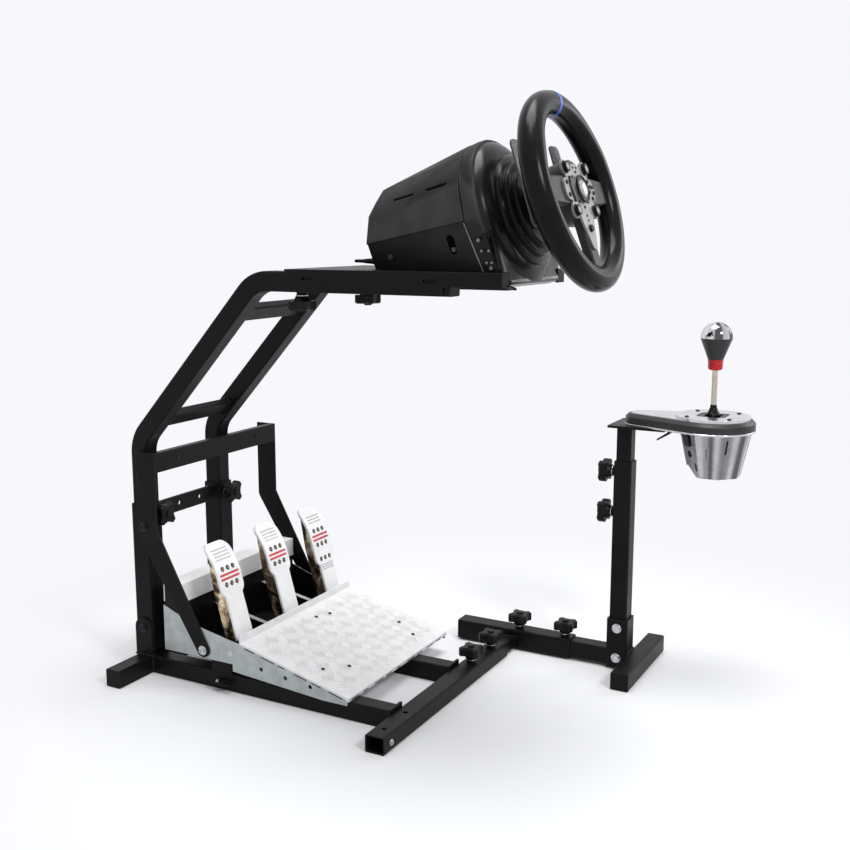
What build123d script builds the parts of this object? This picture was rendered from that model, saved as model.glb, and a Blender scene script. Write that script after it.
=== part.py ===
"""Racing wheel stand with its wheel, pedal set and gear shifter.

Millimetres. +X is the driver's right, +Y points away from the driver, +Z is up.
The origin lies on the floor under the middle of the rear foot tube.
"""
import os
from math import cos, radians, sin

from build123d import *

# Square steel tube of the base and the bent uprights
tube_side = 30.0
tube_wall = 2.0
tube_corner = 3.0
slide_clearance = 0.4
fit_gap = 0.2
inner_corner = 1.0
cut_over = 10.0

# Base on the floor
rear_foot_length = 374.0
rail_outer_width = 220.0
rail_length = 456.0
flange_thickness = 4.0
flange_overhang = 3.0
cross_tube_depth = 32.0
cross_tube_height = 27.0
cross_tube_left = -185.0
cross_tube_right = 236.0
cross_hole_diameter = 8.0
cross_hole_spacing = 62.0
cross_hole_inset = 27.0
cross_knob_inset = 33.0
cross_knob_spacing = 76.0

# Uprights
sleeve_wall = 2.1
sleeve_bottom = 38.0
sleeve_top = 288.0
cheek_thickness = 3.0
cheek_depth = 34.0
hinge_height = 78.0
hinge_bore = 8.4
brace_height = 27.0
brace_thickness = 5.0
brace_hole_diameter = 9.0
brace_hole_spacing = 52.0
upright_knob_drop = 15.0
upright_knob_shift = 4.0

# Sliding upper frame, bent from the same tube
frame_bottom = 120.0
first_bend_height = 394.0
second_bend_y = -240.0
top_tube_height = 656.0
top_tube_end = -568.0
bend_radius = 55.0
lower_rung_rise = 34.0
upper_rung_drop = 50.0
rung_width = 28.0
rung_thickness = 14.0
rung_wall = 1.6
tray_knob_y = -318.0

# Star knob on a welded boss
knob_diameter = 42.0
knob_thickness = 14.0
knob_lobes = 4
knob_scallop_diameter = 34.0
knob_scallop_ring_diameter = 62.0
knob_lobe_corner = 3.0
knob_edge = 2.5
knob_neck_diameter = 26.0
knob_hub_diameter = 17.0
knob_hub_height = 8.0
knob_stud_diameter = 7.6
knob_cap_diameter = 12.0
knob_cap_height = 2.5
boss_diameter = 16.0
boss_height = 5.0
boss_bore = 8.0

# Wheel tray
tray_thickness = 3.0
tray_rear = -300.0
tray_flange_end = -558.0
tray_front = -646.0
tray_flange_depth = 30.0
tray_lip_depth = 20.0
tray_slot_length = 22.0
tray_slot_height = 6.0
tray_slot_inset = 40.0
tray_slot_drop = 10.0
tray_notch_width = 172.0
tray_notch_depth = 14.0

# Wheel base: half widths and heights of its sections, heights from the axis in front and the tray behind
axis_tilt = 18.0
base_front_y = -613.0
base_axis_rise = 77.6
base_front_half_top = 50.0
base_front_half_shoulder = 98.0
base_front_half_side = 114.0
base_front_half_foot = 108.0
base_front_top = 96.0
base_front_shoulder = 48.0
base_front_side = -12.0
base_front_foot = -100.0
base_rear_y = -402.0
base_rear_half_top = 44.0
base_rear_half_shoulder = 74.0
base_rear_half_side = 81.0
base_rear_half_foot = 70.0
base_rear_top = 114.0
base_rear_shoulder = 82.0
base_rear_side = 38.0
base_rear_foot = -7.0
base_cap_depth = 28.0
base_cap_inset = 13.0
base_cap_top = 76.0
base_cap_shoulder = 62.0
base_cap_foot = 30.0
belt_step = 4.0
ledge_width = 6.0
ledge_rise = 3.0
vent_count = 2
vent_length = 40.0
vent_width = 5.0
vent_pitch = 62.0
vent_depth = 5.0
keyhole_diameter = 13.0
keyhole_length = 28.0
keyhole_depth = 4.0
keyhole_forward = 38.0
peg_rearward = 76.0
peg_diameter = 8.0
peg_height = 4.0
collar_depth = 42.0
collar_nose = 14.0
collar_rear_diameter = 202.0
collar_crown_diameter = 213.0
collar_shoulder_diameter = 206.0
collar_nose_diameter = 164.0
fascia_top = -22.0
fascia_reach = 4.0
fascia_half_width = 100.0
bezel_diameter = 156.0
bezel_rings = 3
bezel_ring_step = 10.0
bezel_ring_height = 7.5
bezel_ring_edge = 2.5
shaft_diameter = 24.0
shaft_depth = 30.0
shaft_clearance = 0.05
plug_x = -38.0
plug_rise = 11.0
plug_diameter = 11.0
plug_length = 14.0
relief_diameter = 8.0
relief_tip_diameter = 4.0
relief_length = 34.0

# Steering wheel
wheel_diameter = 280.0
grip_diameter = 35.0
wheel_distance = 92.0
column_diameter = 58.0
column_end_gap = 6.0
spoke_thickness = 12.0
spoke_width = 30.0
spoke_root_width = 46.0
spoke_edge = 2.0
lower_spoke_width = 20.0
lower_spoke_root_width = 40.0
hub_diameter = 86.0
hub_depth = 14.0
hub_plate_diameter = 72.0
hub_plate_thickness = 3.0
hub_tongue_reach = 74.0
hub_tongue_diameter = 18.0
hub_cap_diameter = 34.0
hub_cap_height = 4.0
hub_button_ring = 92.0
hub_button_angle = 40.0
hub_button_diameter = 14.0
hub_button_height = 5.0
hub_ear_diameter = 21.0
paddle_thickness = 2.5
paddle_depth = 36.0
paddle_height = 118.0
paddle_width = 34.0
paddle_corner = 9.0
paddle_rise = 22.0
paddle_pivot = 46.0
paddle_barrel_diameter = 10.0
paddle_barrel_height = 28.0
paddle_pin_diameter = 5.0
paddle_lug_height = 6.0
paddle_lug_gap = 0.3

# Pedal set
pedal_set_left = -113.0
pedal_set_width = 322.0
pedal_sheet = 2.0
pedal_floor_height = 49.0
pedal_mount_length = 40.0
pedal_mount_y = -160.0
rail_tab_y = -165.0
rail_tab_length = 34.0
rail_tab_depth = 13.0
rail_tab_thickness = 3.0
rail_tab_hole = 6.0
pedal_rear_y = -46.0
pedal_rear_height = 125.0
pedal_notch_y = -115.0
pedal_notch_height = 100.0
pedal_front_height = 33.0
pedal_step_setback = 5.0
pedal_step_height = 37.0
pedal_skirt_length = 43.0
pedal_skirt_height = 24.0
plate_hole_diameter = 7.0
plate_holes = 3
plate_hole_pitch = 46.0
plate_hole_setback = 42.0
plate_hole_drop = 28.0
cover_depth = 30.0
cover_height = 161.0
hood_low = 131.0
hood_sheet = 2.0
heel_setback = 19.0
heel_length = 201.0
heel_rear_height = 84.0
heel_thickness = 2.5
heel_lip_height = 14.0
divider_thickness = 3.0
divider_flange = 9.0
divider_rear_height = 106.0
pedal_side_gap = 14.0
pedal_pivot_y = -180.0
pedal_pivot_rise = 15.0
pedal_shaft_diameter = 8.0
pin_clearance = 0.05
pedal_lean = 16.0
pedal_bend_start = 118.0
pedal_bend_radius = 108.0
pedal_bend = 33.0
pedal_boss_diameter = 18.0
pedal_arm_width = 30.0
pedal_arm_depth = 24.0
pedal_arm_wall = 2.5
pedal_arm_taper = 104.0
pedal_face_offset = 14.0
pedal_face_thickness = 4.0
pedal_stem_width = 40.0
pedal_stem_start = 16.0
pedal_face_start = 86.0
pedal_face_width = 56.0
pedal_face_corner = 16.0
throttle_face_start = 68.0
pedal_hole_diameter = 6.0
pedal_hole_columns = 3
pedal_hole_pitch_x = 13.0
pedal_hole_pitch_y = 26.0
pedal_hole_drop = 70.0

# Bracket of the pedal set
bracket_sheet = 3.0
bracket_bar_low = 345.0
bracket_bar_high = 377.0
bracket_bar_y = -41.0
bracket_flange_depth = 12.0
bracket_arm_width = 39.0
bracket_knee_height = 245.0
bracket_bolt_y = -14.0
bracket_bolt_height = 254.0
bracket_spacer_diameter = 18.0
bracket_end_y = -128.0
bracket_end_height = 63.0
bracket_end_diameter = 24.0

# Shifter arm and post
arm_x = 288.0
arm_sleeve_side = 34.0
arm_sleeve_wall = 2.2
arm_sleeve_low = 3.0
arm_sleeve_rear = -394.0
arm_sleeve_front = -607.0
arm_knob_inset = 13.0
arm_knob_spacing = 86.0
arm_tube_rear = -410.0
slide_tube_left = 96.0
right_foot_length = 200.0
right_foot_y = -725.0
clevis_wall = 3.0
clevis_low = 4.0
clevis_top = 88.0
post_tube_side = 25.0
post_tube_low = 190.0
post_sleeve_low = 5.0
post_sleeve_top = 357.0
post_sleeve_wall = 2.1
post_knob_drop = 19.0
post_knob_spacing = 69.0

# Shifter
post_plate_height = 414.0
post_plate_thickness = 4.0
post_plate_width = 84.0
post_plate_rear_reach = 23.8
post_plate_front_reach = 70.2
hook_width = 26.0
hook_drop = 8.0
hook_reach = 20.0
hook_fall = 12.0
hook_thickness = 3.0
shifter_offset = 16.0
shifter_reach = 136.2
deck_diameter = 132.0
deck_tail_diameter = 60.0
deck_tail_reach = 24.2
deck_thickness = 18.0
deck_bevel = 5.0
deck_bore = 84.0
trim_inset = 9.0
trim_thickness = 1.5
gate_diameter = 116.0
gate_thickness = 5.0
gate_window = 46.0
gate_window_corner = 8.0
housing_top_width = 112.0
housing_top_length = 104.0
housing_top_corner = 32.0
housing_bottom_width = 78.0
housing_bottom_length = 76.0
housing_bottom_corner = 24.0
housing_floor = 17.0
housing_forward = 6.0
housing_heel = 24.0
port_diameter = 11.0
port_depth = 5.0
window_length = 28.0
window_width = 7.0
window_depth = 3.0
cavity_width = 48.0
cavity_length = 44.0
cavity_floor_gap = 17.0
lever_pivot_drop = 20.0
gimbal_drop = 13.0
gimbal_width = 24.0
gimbal_length = 20.0
gimbal_slot = 12.0
gimbal_pin_diameter = 6.0
gimbal_pin_engagement = 7.0
lever_diameter = 9.0
lever_end = 7.0
boot_gap = 9.0
boot_diameter = 28.0
boot_height = 12.0
collar_rise = 116.0
collar_height = 16.0
collar_diameter = 22.0
lever_knob_height = 59.0
lever_knob_diameter = 50.0
lever_knob_neck = 24.0

# Values worked out from the sizes above
sleeve_side = tube_side + 2 * (slide_clearance + sleeve_wall)
upright_x = rail_outer_width / 2 - sleeve_side / 2
rail_x = rail_outer_width / 2 - tube_side / 2
cross_rear_y = -tube_side / 2 - rail_length - flange_thickness
cross_y = cross_rear_y - cross_tube_depth / 2
tube_outer_x = upright_x + tube_side / 2
tube_top = top_tube_height + tube_side / 2
tray_seat = tube_top + slide_clearance + tray_thickness
pedal_set_right = pedal_set_left + pedal_set_width
pedal_middle_x = pedal_set_left + pedal_set_width / 2
pedal_spacing = pedal_set_width / 2 - pedal_sheet - pedal_arm_width / 2 - pedal_side_gap
cover_front_y = pedal_rear_y - pedal_sheet - cover_depth
heel_rear_y = pedal_pivot_y - heel_setback
pedal_front_y = heel_rear_y - heel_length
pedal_step_y = pedal_pivot_y - pedal_step_setback
pedal_skirt_y = pedal_front_y + pedal_skirt_length
pedal_pivot_height = pedal_floor_height + pedal_sheet + pedal_pivot_rise
pedal_reach = pedal_bend_start + pedal_bend_radius * sin(radians(pedal_bend))
base_axis_height = tray_seat + base_axis_rise
bezel_height = bezel_rings * bezel_ring_height
post_sleeve_side = post_tube_side + 2 * (slide_clearance + post_sleeve_wall)
clevis_side = post_sleeve_side + 2 * (fit_gap + clevis_wall)
post_y = right_foot_y + tube_side / 2 + clevis_side / 2
arm_tube_side = arm_sleeve_side - 2 * (arm_sleeve_wall + slide_clearance)
arm_height = arm_sleeve_low + arm_sleeve_side / 2
shifter_x = arm_x + shifter_offset
shifter_y = post_y - shifter_reach
deck_tail_y = post_y - deck_tail_reach
post_plate_rear = post_y + post_plate_rear_reach
post_plate_front = post_y - post_plate_front_reach
deck_low = post_plate_height + post_plate_thickness
gate_low = deck_low + deck_thickness
lever_pivot_height = deck_low - lever_pivot_drop
cavity_depth = lever_pivot_drop + gimbal_drop + gimbal_pin_diameter + cavity_floor_gap
housing_depth = cavity_depth + housing_floor
collar_low = lever_pivot_height + collar_rise
lever_top = collar_low + collar_height + lever_knob_height

along_x = Vector(1, 0, 0)
along_y = Vector(0, 1, 0)
along_z = Vector(0, 0, 1)

# The steering axis leaves the wheel base towards the driver and upwards
axis_out = Vector(0, -cos(radians(axis_tilt)), sin(radians(axis_tilt)))
base_front = Plane(origin=(0, base_front_y, base_axis_height), x_dir=along_x, z_dir=axis_out)
wheel_plane = base_front.offset(wheel_distance)


def block(x_low, x_high, y_low, y_high, z_low, z_high):
    """Box between six coordinates."""
    middle = ((x_low + x_high) / 2, (y_low + y_high) / 2, (z_low + z_high) / 2)
    return Pos(*middle) * Box(x_high - x_low, y_high - y_low, z_high - z_low)


def tube_section(width, height, wall):
    """Hollow rectangle with rounded corners."""
    outer = RectangleRounded(width, height, tube_corner)
    return outer - RectangleRounded(width - 2 * wall, height - 2 * wall, inner_corner)


def straight_tube(start, direction, across, width, height, wall, length):
    """Rectangular tube from a start point, with its width along across."""
    frame = Plane(origin=start, x_dir=across, z_dir=direction)
    return extrude(frame * tube_section(width, height, wall), length)


def end_plug(start, direction, across, width, height, depth):
    """Plastic plug that closes the end of a tube."""
    frame = Plane(origin=start, x_dir=across, z_dir=direction)
    return extrude(frame * RectangleRounded(width, height, tube_corner), depth)


def rod(start, direction, diameter, length):
    """Round bar from a start point."""
    frame = Plane(origin=start, z_dir=direction)
    return extrude(frame * Circle(diameter / 2), length)


def with_boss(tube, seat, axis, wall):
    """Tube with a welded knob boss on its surface and the bore through its wall."""
    boss = rod(seat, axis, boss_diameter, boss_height)
    inside = Vector(*seat) - axis * (wall + slide_clearance / 2)
    bore = rod(inside, axis, boss_bore, boss_height + wall + slide_clearance)
    return tube + boss - bore


def star_knob(seat, axis, wall):
    """Clamp knob with scalloped sides, whose tapered hub rests on the boss that stands on seat."""
    rest = Plane(origin=Vector(*seat) + axis * boss_height, z_dir=axis)
    scallops = PolarLocations(knob_scallop_ring_diameter / 2, knob_lobes) * Circle(knob_scallop_diameter / 2)
    star = Circle(knob_diameter / 2) - scallops
    star = fillet(star.vertices(), knob_lobe_corner)
    neck = rest.offset(knob_hub_height)
    hub = loft([rest * Circle(knob_hub_diameter / 2), neck * Circle(knob_neck_diameter / 2)])
    stud = extrude(rest * Circle(knob_stud_diameter / 2), -(boss_height + wall))
    head = extrude(neck * star, knob_thickness)
    head = chamfer(head.faces().sort_by(Axis(rest.origin, axis))[-1].edges(), knob_edge)
    cap = extrude(neck.offset(knob_thickness) * Circle(knob_cap_diameter / 2), knob_cap_height)
    return hub + stud + head + cap


def make_rear_foot():
    """Foot tube along X with both ends plugged."""
    start = (-rear_foot_length / 2, 0, tube_side / 2)
    foot = straight_tube(start, along_x, along_y, tube_side, tube_side, tube_wall, rear_foot_length)
    left = end_plug(start, along_x, along_y, tube_side, tube_side, tube_wall)
    last = (rear_foot_length / 2, 0, tube_side / 2)
    return foot + left + end_plug(last, -along_x, along_y, tube_side, tube_side, tube_wall)


def make_rail(side):
    """Rail along Y with the end flange, the pedal mount and a drilled tab on its outer face."""
    start = (side * rail_x, -tube_side / 2, tube_side / 2)
    rail = straight_tube(start, -along_y, along_x, tube_side, tube_side, tube_wall, rail_length)
    half = tube_side / 2 + flange_overhang
    flange = block(
        side * rail_x - half,
        side * rail_x + half,
        cross_rear_y,
        cross_rear_y + flange_thickness,
        0,
        tube_side + flange_overhang,
    )
    mount = block(
        side * rail_x - tube_side / 2,
        side * rail_x + tube_side / 2,
        pedal_mount_y - pedal_mount_length / 2,
        pedal_mount_y + pedal_mount_length / 2,
        tube_side,
        pedal_floor_height,
    )
    face_x = side * rail_outer_width / 2
    tab_x = face_x + side * rail_tab_depth / 2
    tab = Pos(tab_x, rail_tab_y, tube_side / 2) * Box(rail_tab_depth, rail_tab_length, rail_tab_thickness)
    tab -= Pos(tab_x, rail_tab_y, tube_side / 2) * Cylinder(rail_tab_hole / 2, 2 * rail_tab_thickness)
    return rail + flange + mount + tab


def cross_knob_seats():
    """Top points of the cross tube that carry the two clamp knobs."""
    outer = cross_tube_right - cross_knob_inset
    return [(x, cross_y, cross_tube_height) for x in (outer - cross_knob_spacing, outer)]


def make_cross_tube():
    """Open cross tube with bolt holes at its left end and knob bosses at its right."""
    start = (cross_tube_left, cross_y, cross_tube_height / 2)
    length = cross_tube_right - cross_tube_left
    tube = straight_tube(
        start, along_x, along_y, cross_tube_depth, cross_tube_height, tube_wall, length
    )
    for index in range(2):
        x = cross_tube_left + cross_hole_inset + index * cross_hole_spacing
        drill = rod((x, cross_y, cross_tube_height / 2), along_z, cross_hole_diameter, cross_tube_height)
        tube -= drill
    for seat in cross_knob_seats():
        tube = with_boss(tube, seat, along_z, tube_wall)
    return tube


def upright_knob_seat(side):
    """Point on the front of an upright sleeve that carries its clamp knob."""
    return (side * (upright_x - upright_knob_shift), -sleeve_side / 2, sleeve_top - upright_knob_drop)


def make_upright_bracket(side):
    """Folded bracket on the rear foot whose cheeks hold the upright."""
    half = sleeve_side / 2 + fit_gap
    outer = half + cheek_thickness
    x = side * upright_x
    bracket = block(
        x - outer, x + outer, -cheek_depth / 2, cheek_depth / 2, tube_side, tube_side + cheek_thickness
    )
    for hand in (-1, 1):
        side_plane = Plane(origin=(x + hand * half, 0, hinge_height), x_dir=along_y, z_dir=hand * along_x)
        cheek = Circle(cheek_depth / 2) + Pos(0, -(hinge_height - tube_side) / 2 * hand) * Rectangle(
            cheek_depth, hinge_height - tube_side
        )
        bracket += extrude(side_plane * cheek, cheek_thickness)
    bore_start = (x - outer - cut_over, 0, hinge_height)
    bore = rod(bore_start, along_x, hinge_bore, 2 * (outer + cut_over))
    return bracket - bore


def make_upright_sleeve(side):
    """Lower tube of an upright, drilled for its pivot bolt."""
    start = (side * upright_x, 0, sleeve_bottom)
    length = sleeve_top - sleeve_bottom
    sleeve = straight_tube(start, along_z, along_x, sleeve_side, sleeve_side, sleeve_wall, length)
    sleeve = with_boss(sleeve, upright_knob_seat(side), -along_y, sleeve_wall)
    bore_start = (side * upright_x - sleeve_side, 0, hinge_height)
    return sleeve - rod(bore_start, along_x, hinge_bore, 2 * sleeve_side)


def make_brace():
    """Flat plate with two holes that ties the sleeves together."""
    half = upright_x - sleeve_side / 2
    front = -sleeve_side / 2 + tube_corner
    plate = block(-half, half, front, front + brace_thickness, sleeve_top - brace_height, sleeve_top)
    for hand in (-1, 1):
        hole_start = (hand * brace_hole_spacing / 2, front - cut_over, sleeve_top - brace_height / 2)
        plate -= rod(hole_start, along_y, brace_hole_diameter, brace_thickness + 2 * cut_over)
    return plate


def make_bent_tube(side):
    """One side of the upper frame: up, back over the pedals, then forward under the tray."""
    x = side * upright_x
    path = FilletPolyline(
        (x, 0, frame_bottom),
        (x, 0, first_bend_height),
        (x, second_bend_y, top_tube_height),
        (x, top_tube_end, top_tube_height),
        radius=bend_radius,
    )
    start = Plane(origin=(x, 0, frame_bottom), x_dir=along_x, z_dir=along_z)
    tube = sweep(start * tube_section(tube_side, tube_side, tube_wall), path=path)
    end = (x, top_tube_end, top_tube_height)
    tube += end_plug(end, along_y, along_x, tube_side, tube_side, tube_wall)
    return with_boss(tube, tray_knob_seat(side), -along_z, tube_wall)


def tray_knob_seat(side):
    """Point under a top tube that carries its clamp knob."""
    return (side * upright_x, tray_knob_y, top_tube_height - tube_side / 2)


def make_rung(height):
    """Flat tube between the sloping parts of the upper frame."""
    slope = Vector(0, second_bend_y, top_tube_height - first_bend_height).normalized()
    y = second_bend_y * (height - first_bend_height) / (top_tube_height - first_bend_height)
    half = upright_x - tube_side / 2
    return straight_tube((-half, y, height), along_x, slope, rung_width, rung_thickness, rung_wall, 2 * half)


def make_wheel_tray():
    """Folded tray over the top tubes: long flanges at the rear, a shallow lip and a notch in front."""
    inner = tube_outer_x + slide_clearance
    outer = inner + tray_thickness
    low = tray_seat - tray_thickness
    tray = block(-outer, outer, tray_front, tray_rear, low, tray_seat)
    lip_low = tray_seat - tray_lip_depth
    for side in (-1, 1):
        edges = sorted((side * inner, side * outer))
        tray += block(*edges, tray_flange_end, tray_rear, low - tray_flange_depth, low)
        tray += block(*edges, tray_front, tray_flange_end, lip_low, low)
        for y in (tray_rear - tray_slot_inset, tray_flange_end + tray_slot_inset / 2):
            slot_plane = Plane(
                origin=(side * tube_outer_x, y, low - tray_slot_drop), x_dir=along_y, z_dir=side * along_x
            )
            tray -= extrude(slot_plane * SlotOverall(tray_slot_length, tray_slot_height), 2 * tray_thickness)
    tray += block(-inner, inner, tray_front, tray_front + tray_thickness, lip_low, low)
    half_notch = tray_notch_width / 2
    notch_rear = tray_front + tray_notch_depth
    return tray - block(-half_notch, half_notch, tray_front, notch_rear, lip_low, tray_seat)


def base_section(half_foot, half_side, half_shoulder, half_top, foot, side, shoulder, top):
    """Section of the wheel base: side panel, belt that stands proud of it, ledge and vented shoulder."""
    right = [
        (half_foot, foot),
        (half_side - belt_step, side - belt_step),
        (half_side, side),
        (half_shoulder, shoulder),
        (half_shoulder - ledge_width, shoulder + ledge_rise),
        (half_top, top),
    ]
    left = [(-x, y) for x, y in reversed(right)]
    return make_face(Polyline(*right, *left, close=True))


def front_corners(side):
    """Corners of the base's front section on one side, from the foot up to the roof."""
    flat = [
        (base_front_half_foot, base_front_foot),
        (base_front_half_side, base_front_side),
        (base_front_half_shoulder, base_front_shoulder),
        (base_front_half_top, base_front_top),
    ]
    plane = base_front.offset(-collar_depth)
    return [plane.from_local_coords((side * x, y, 0)) for x, y in flat]


def rear_corners(side):
    """Corners of the base's rear section on one side, from the foot up to the roof."""
    flat = [
        (base_rear_half_foot, base_rear_foot),
        (base_rear_half_side, base_rear_side),
        (base_rear_half_shoulder, base_rear_shoulder),
        (base_rear_half_top, base_rear_top),
    ]
    return [Vector(side * x, base_rear_y, tray_seat + z) for x, z in flat]


def facet_plane(side, level):
    """Plane on a side facet of the base: local X runs to the front, local Z outwards."""
    front = front_corners(side)
    rear = rear_corners(side)
    middle = (front[level] + front[level + 1] + rear[level] + rear[level + 1]) / 4
    forward = (front[level] + front[level + 1] - rear[level] - rear[level + 1]).normalized()
    upward = front[level + 1] + rear[level + 1] - front[level] - rear[level]
    outward = forward.cross(upward) * -side
    return Plane(origin=middle, x_dir=forward, z_dir=outward)


def make_wheel_base():
    """Moulded housing, wide and tall at the front, faceted down to a narrow, rounded-off rear."""
    front = base_front.offset(-collar_depth) * base_section(
        base_front_half_foot, base_front_half_side, base_front_half_shoulder, base_front_half_top,
        base_front_foot, base_front_side, base_front_shoulder, base_front_top,
    )
    rear_plane = Plane(origin=(0, base_rear_y, tray_seat), x_dir=along_x, z_dir=-along_y)
    rear = rear_plane * base_section(
        base_rear_half_foot, base_rear_half_side, base_rear_half_shoulder, base_rear_half_top,
        base_rear_foot, base_rear_side, base_rear_shoulder, base_rear_top,
    )
    cap = rear_plane.offset(-base_cap_depth) * base_section(
        base_rear_half_foot - base_cap_inset, base_rear_half_side - base_cap_inset,
        base_rear_half_shoulder - base_cap_inset, base_rear_half_top - base_cap_inset,
        base_cap_foot, base_rear_side, base_cap_shoulder, base_cap_top,
    )
    shell = loft([cap, rear], ruled=True) + loft([rear, front], ruled=True)
    for side in (-1, 1):
        shoulder = facet_plane(side, 2)
        vents = Sketch() + GridLocations(vent_pitch, 1, vent_count, 1) * SlotOverall(vent_length, vent_width)
        shell -= extrude(shoulder * vents, vent_depth, both=True)
        panel = facet_plane(side, 0)
        keyhole = Pos(keyhole_forward, 0) * Rot(0, 0, 90) * SlotOverall(keyhole_length, keyhole_diameter)
        shell -= extrude(panel * keyhole, keyhole_depth, both=True)
        peg = Pos(-peg_rearward, 0) * Circle(peg_diameter / 2)
        shell += extrude(panel * peg, peg_height, both=True)
    bore_depth = collar_depth + shaft_depth + shaft_clearance
    bore = extrude(base_front * Circle(shaft_diameter / 2 + shaft_clearance), -bore_depth)
    return shell - below_tray() - bore


def below_tray():
    """Space under the top face of the tray, apart from the notch that the fascia hangs down in."""
    half = base_front_half_side + cut_over
    space = block(-half, half, tray_front - bezel_diameter, base_rear_y + bezel_diameter, 0, tray_seat)
    half_notch = tray_notch_width / 2 - fit_gap
    notch_rear = tray_front + tray_notch_depth - fit_gap
    hang = block(-half_notch, half_notch, tray_front - bezel_diameter, notch_rear, 0, tray_seat)
    return space - hang


def column_mouth():
    """Room for the turning column in the front of the base."""
    start = base_front.offset(column_end_gap)
    return extrude(start * Circle(column_diameter / 2 + column_end_gap), collar_nose + bezel_height)


def make_collar():
    """Round shell in front of the housing, turned about the steering axis, over a tapered fascia."""
    side_plane = Plane(origin=base_front.origin, x_dir=along_x, z_dir=along_x.cross(axis_out))
    curve = Spline(
        (collar_rear_diameter / 2, -collar_depth),
        (collar_crown_diameter / 2, -collar_depth / 2),
        (collar_shoulder_diameter / 2, 0),
        (collar_nose_diameter / 2, collar_nose),
    )
    ends = Polyline(
        (collar_nose_diameter / 2, collar_nose),
        (0, collar_nose),
        (0, -collar_depth),
        (collar_rear_diameter / 2, -collar_depth),
    )
    dome = revolve(side_plane * make_face(curve.edges() + ends.edges()), Axis(base_front.origin, axis_out))
    fascia_height = fascia_top - base_front_foot
    fascia_middle = Pos(0, base_front_foot + fascia_height / 2)
    rear_panel = base_front.offset(-collar_depth) * fascia_middle * Rectangle(
        2 * base_front_half_foot, fascia_height
    )
    front_panel = base_front.offset(fascia_reach) * fascia_middle * Rectangle(
        2 * fascia_half_width, fascia_height
    )
    fascia = loft([rear_panel, front_panel])
    bore = extrude(base_front * Circle(shaft_diameter / 2 + shaft_clearance), -collar_depth, both=True)
    return dome + fascia - below_tray() - column_mouth() - bore


def make_bezel():
    """Round front of the wheel base: rings that step in towards the column."""
    bezel = Part()
    for index in range(bezel_rings):
        ring_plane = base_front.offset(collar_nose + index * bezel_ring_height)
        ring = extrude(ring_plane * Circle(bezel_diameter / 2 - index * bezel_ring_step), bezel_ring_height)
        front_face = ring.faces().sort_by(Axis(base_front.origin, axis_out))[-1]
        bezel += chamfer(front_face.edges(), bezel_ring_edge)
    return bezel - column_mouth() - below_tray()


def make_lead_plug():
    """Plug low on the back of the housing with its tapered strain relief."""
    slope_rise = base_cap_foot - base_rear_foot
    seat_y = base_rear_y + base_cap_depth * (plug_rise - base_rear_foot) / slope_rise
    seat = Plane(origin=(plug_x, seat_y - plug_length / 2, tray_seat + plug_rise), z_dir=along_y)
    plug = extrude(seat * Circle(plug_diameter / 2), plug_length)
    tail = seat.offset(plug_length)
    tip = tail.offset(relief_length)
    relief = loft([tail * Circle(relief_diameter / 2), tip * Circle(relief_tip_diameter / 2)])
    return plug + relief - make_wheel_base()


def make_column():
    """Steering column between the base and the hub, with its shaft and the paddle lugs."""
    start = base_front.offset(2 * column_end_gap)
    length = wheel_distance - hub_depth - 2 * column_end_gap - spoke_thickness / 2
    column = extrude(start * Circle(column_diameter / 2), length)
    shaft_length = 2 * column_end_gap + collar_depth + shaft_depth - fit_gap
    column += extrude(start * Circle(shaft_diameter / 2), -shaft_length)
    reach = paddle_barrel_height / 2 + paddle_lug_gap
    for hand in (-1, 1):
        for level in (-1, 1):
            middle = level * (reach + paddle_lug_height / 2)
            foot = Pos(-hand * paddle_pivot / 4, 0, middle) * Box(
                paddle_pivot / 2, paddle_barrel_diameter, paddle_lug_height
            )
            eye = Pos(0, 0, middle) * Cylinder(paddle_barrel_diameter / 2, paddle_lug_height)
            column += paddle_plane(hand) * (foot + eye)
        column += paddle_plane(hand) * Cylinder(paddle_pin_diameter / 2, 2 * reach)
    return column


def paddle_plane(hand):
    """Frame at a paddle's pivot: local Z runs up the wheel, local X to the driver's right."""
    up = wheel_plane.y_dir
    origin = wheel_plane.origin + along_x * (hand * paddle_pivot) - axis_out * paddle_depth
    return Plane(origin=origin, x_dir=along_x, z_dir=up)


def make_paddle(hand):
    """Gear paddle behind the rim on its pivot barrel."""
    barrel = Cylinder(paddle_barrel_diameter / 2, paddle_barrel_height)
    root = paddle_barrel_diameter / 2 - paddle_thickness / 2
    blade_x = hand * (root + paddle_width / 2)
    blade_plane = Plane(origin=(blade_x, 0, paddle_rise), x_dir=along_x, z_dir=along_y)
    blade = extrude(
        blade_plane * RectangleRounded(paddle_width, paddle_height, paddle_corner),
        paddle_thickness / 2,
        both=True,
    )
    web = Pos(hand * paddle_barrel_diameter / 2, 0, 0) * Box(
        paddle_barrel_diameter, paddle_thickness, paddle_barrel_height
    )
    clear = 2 * paddle_height
    edge = paddle_barrel_diameter / 2 + paddle_lug_gap
    lug_space = Pos(hand * (edge - clear / 2), 0, 0) * Box(clear, clear, clear)
    bore = Cylinder(paddle_pin_diameter / 2 + pin_clearance, clear)
    return paddle_plane(hand) * ((blade + web - lug_space) + barrel + web - bore)


def spoke_outline(root_width, tip_width, angle):
    """Tapered spoke from the wheel's centre out to the grip."""
    reach = wheel_diameter / 2
    outline = Polyline(
        (0, -root_width / 2),
        (reach, -tip_width / 2),
        (reach, tip_width / 2),
        (0, root_width / 2),
        close=True,
    )
    return Rot(0, 0, angle) * make_face(outline)


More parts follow.
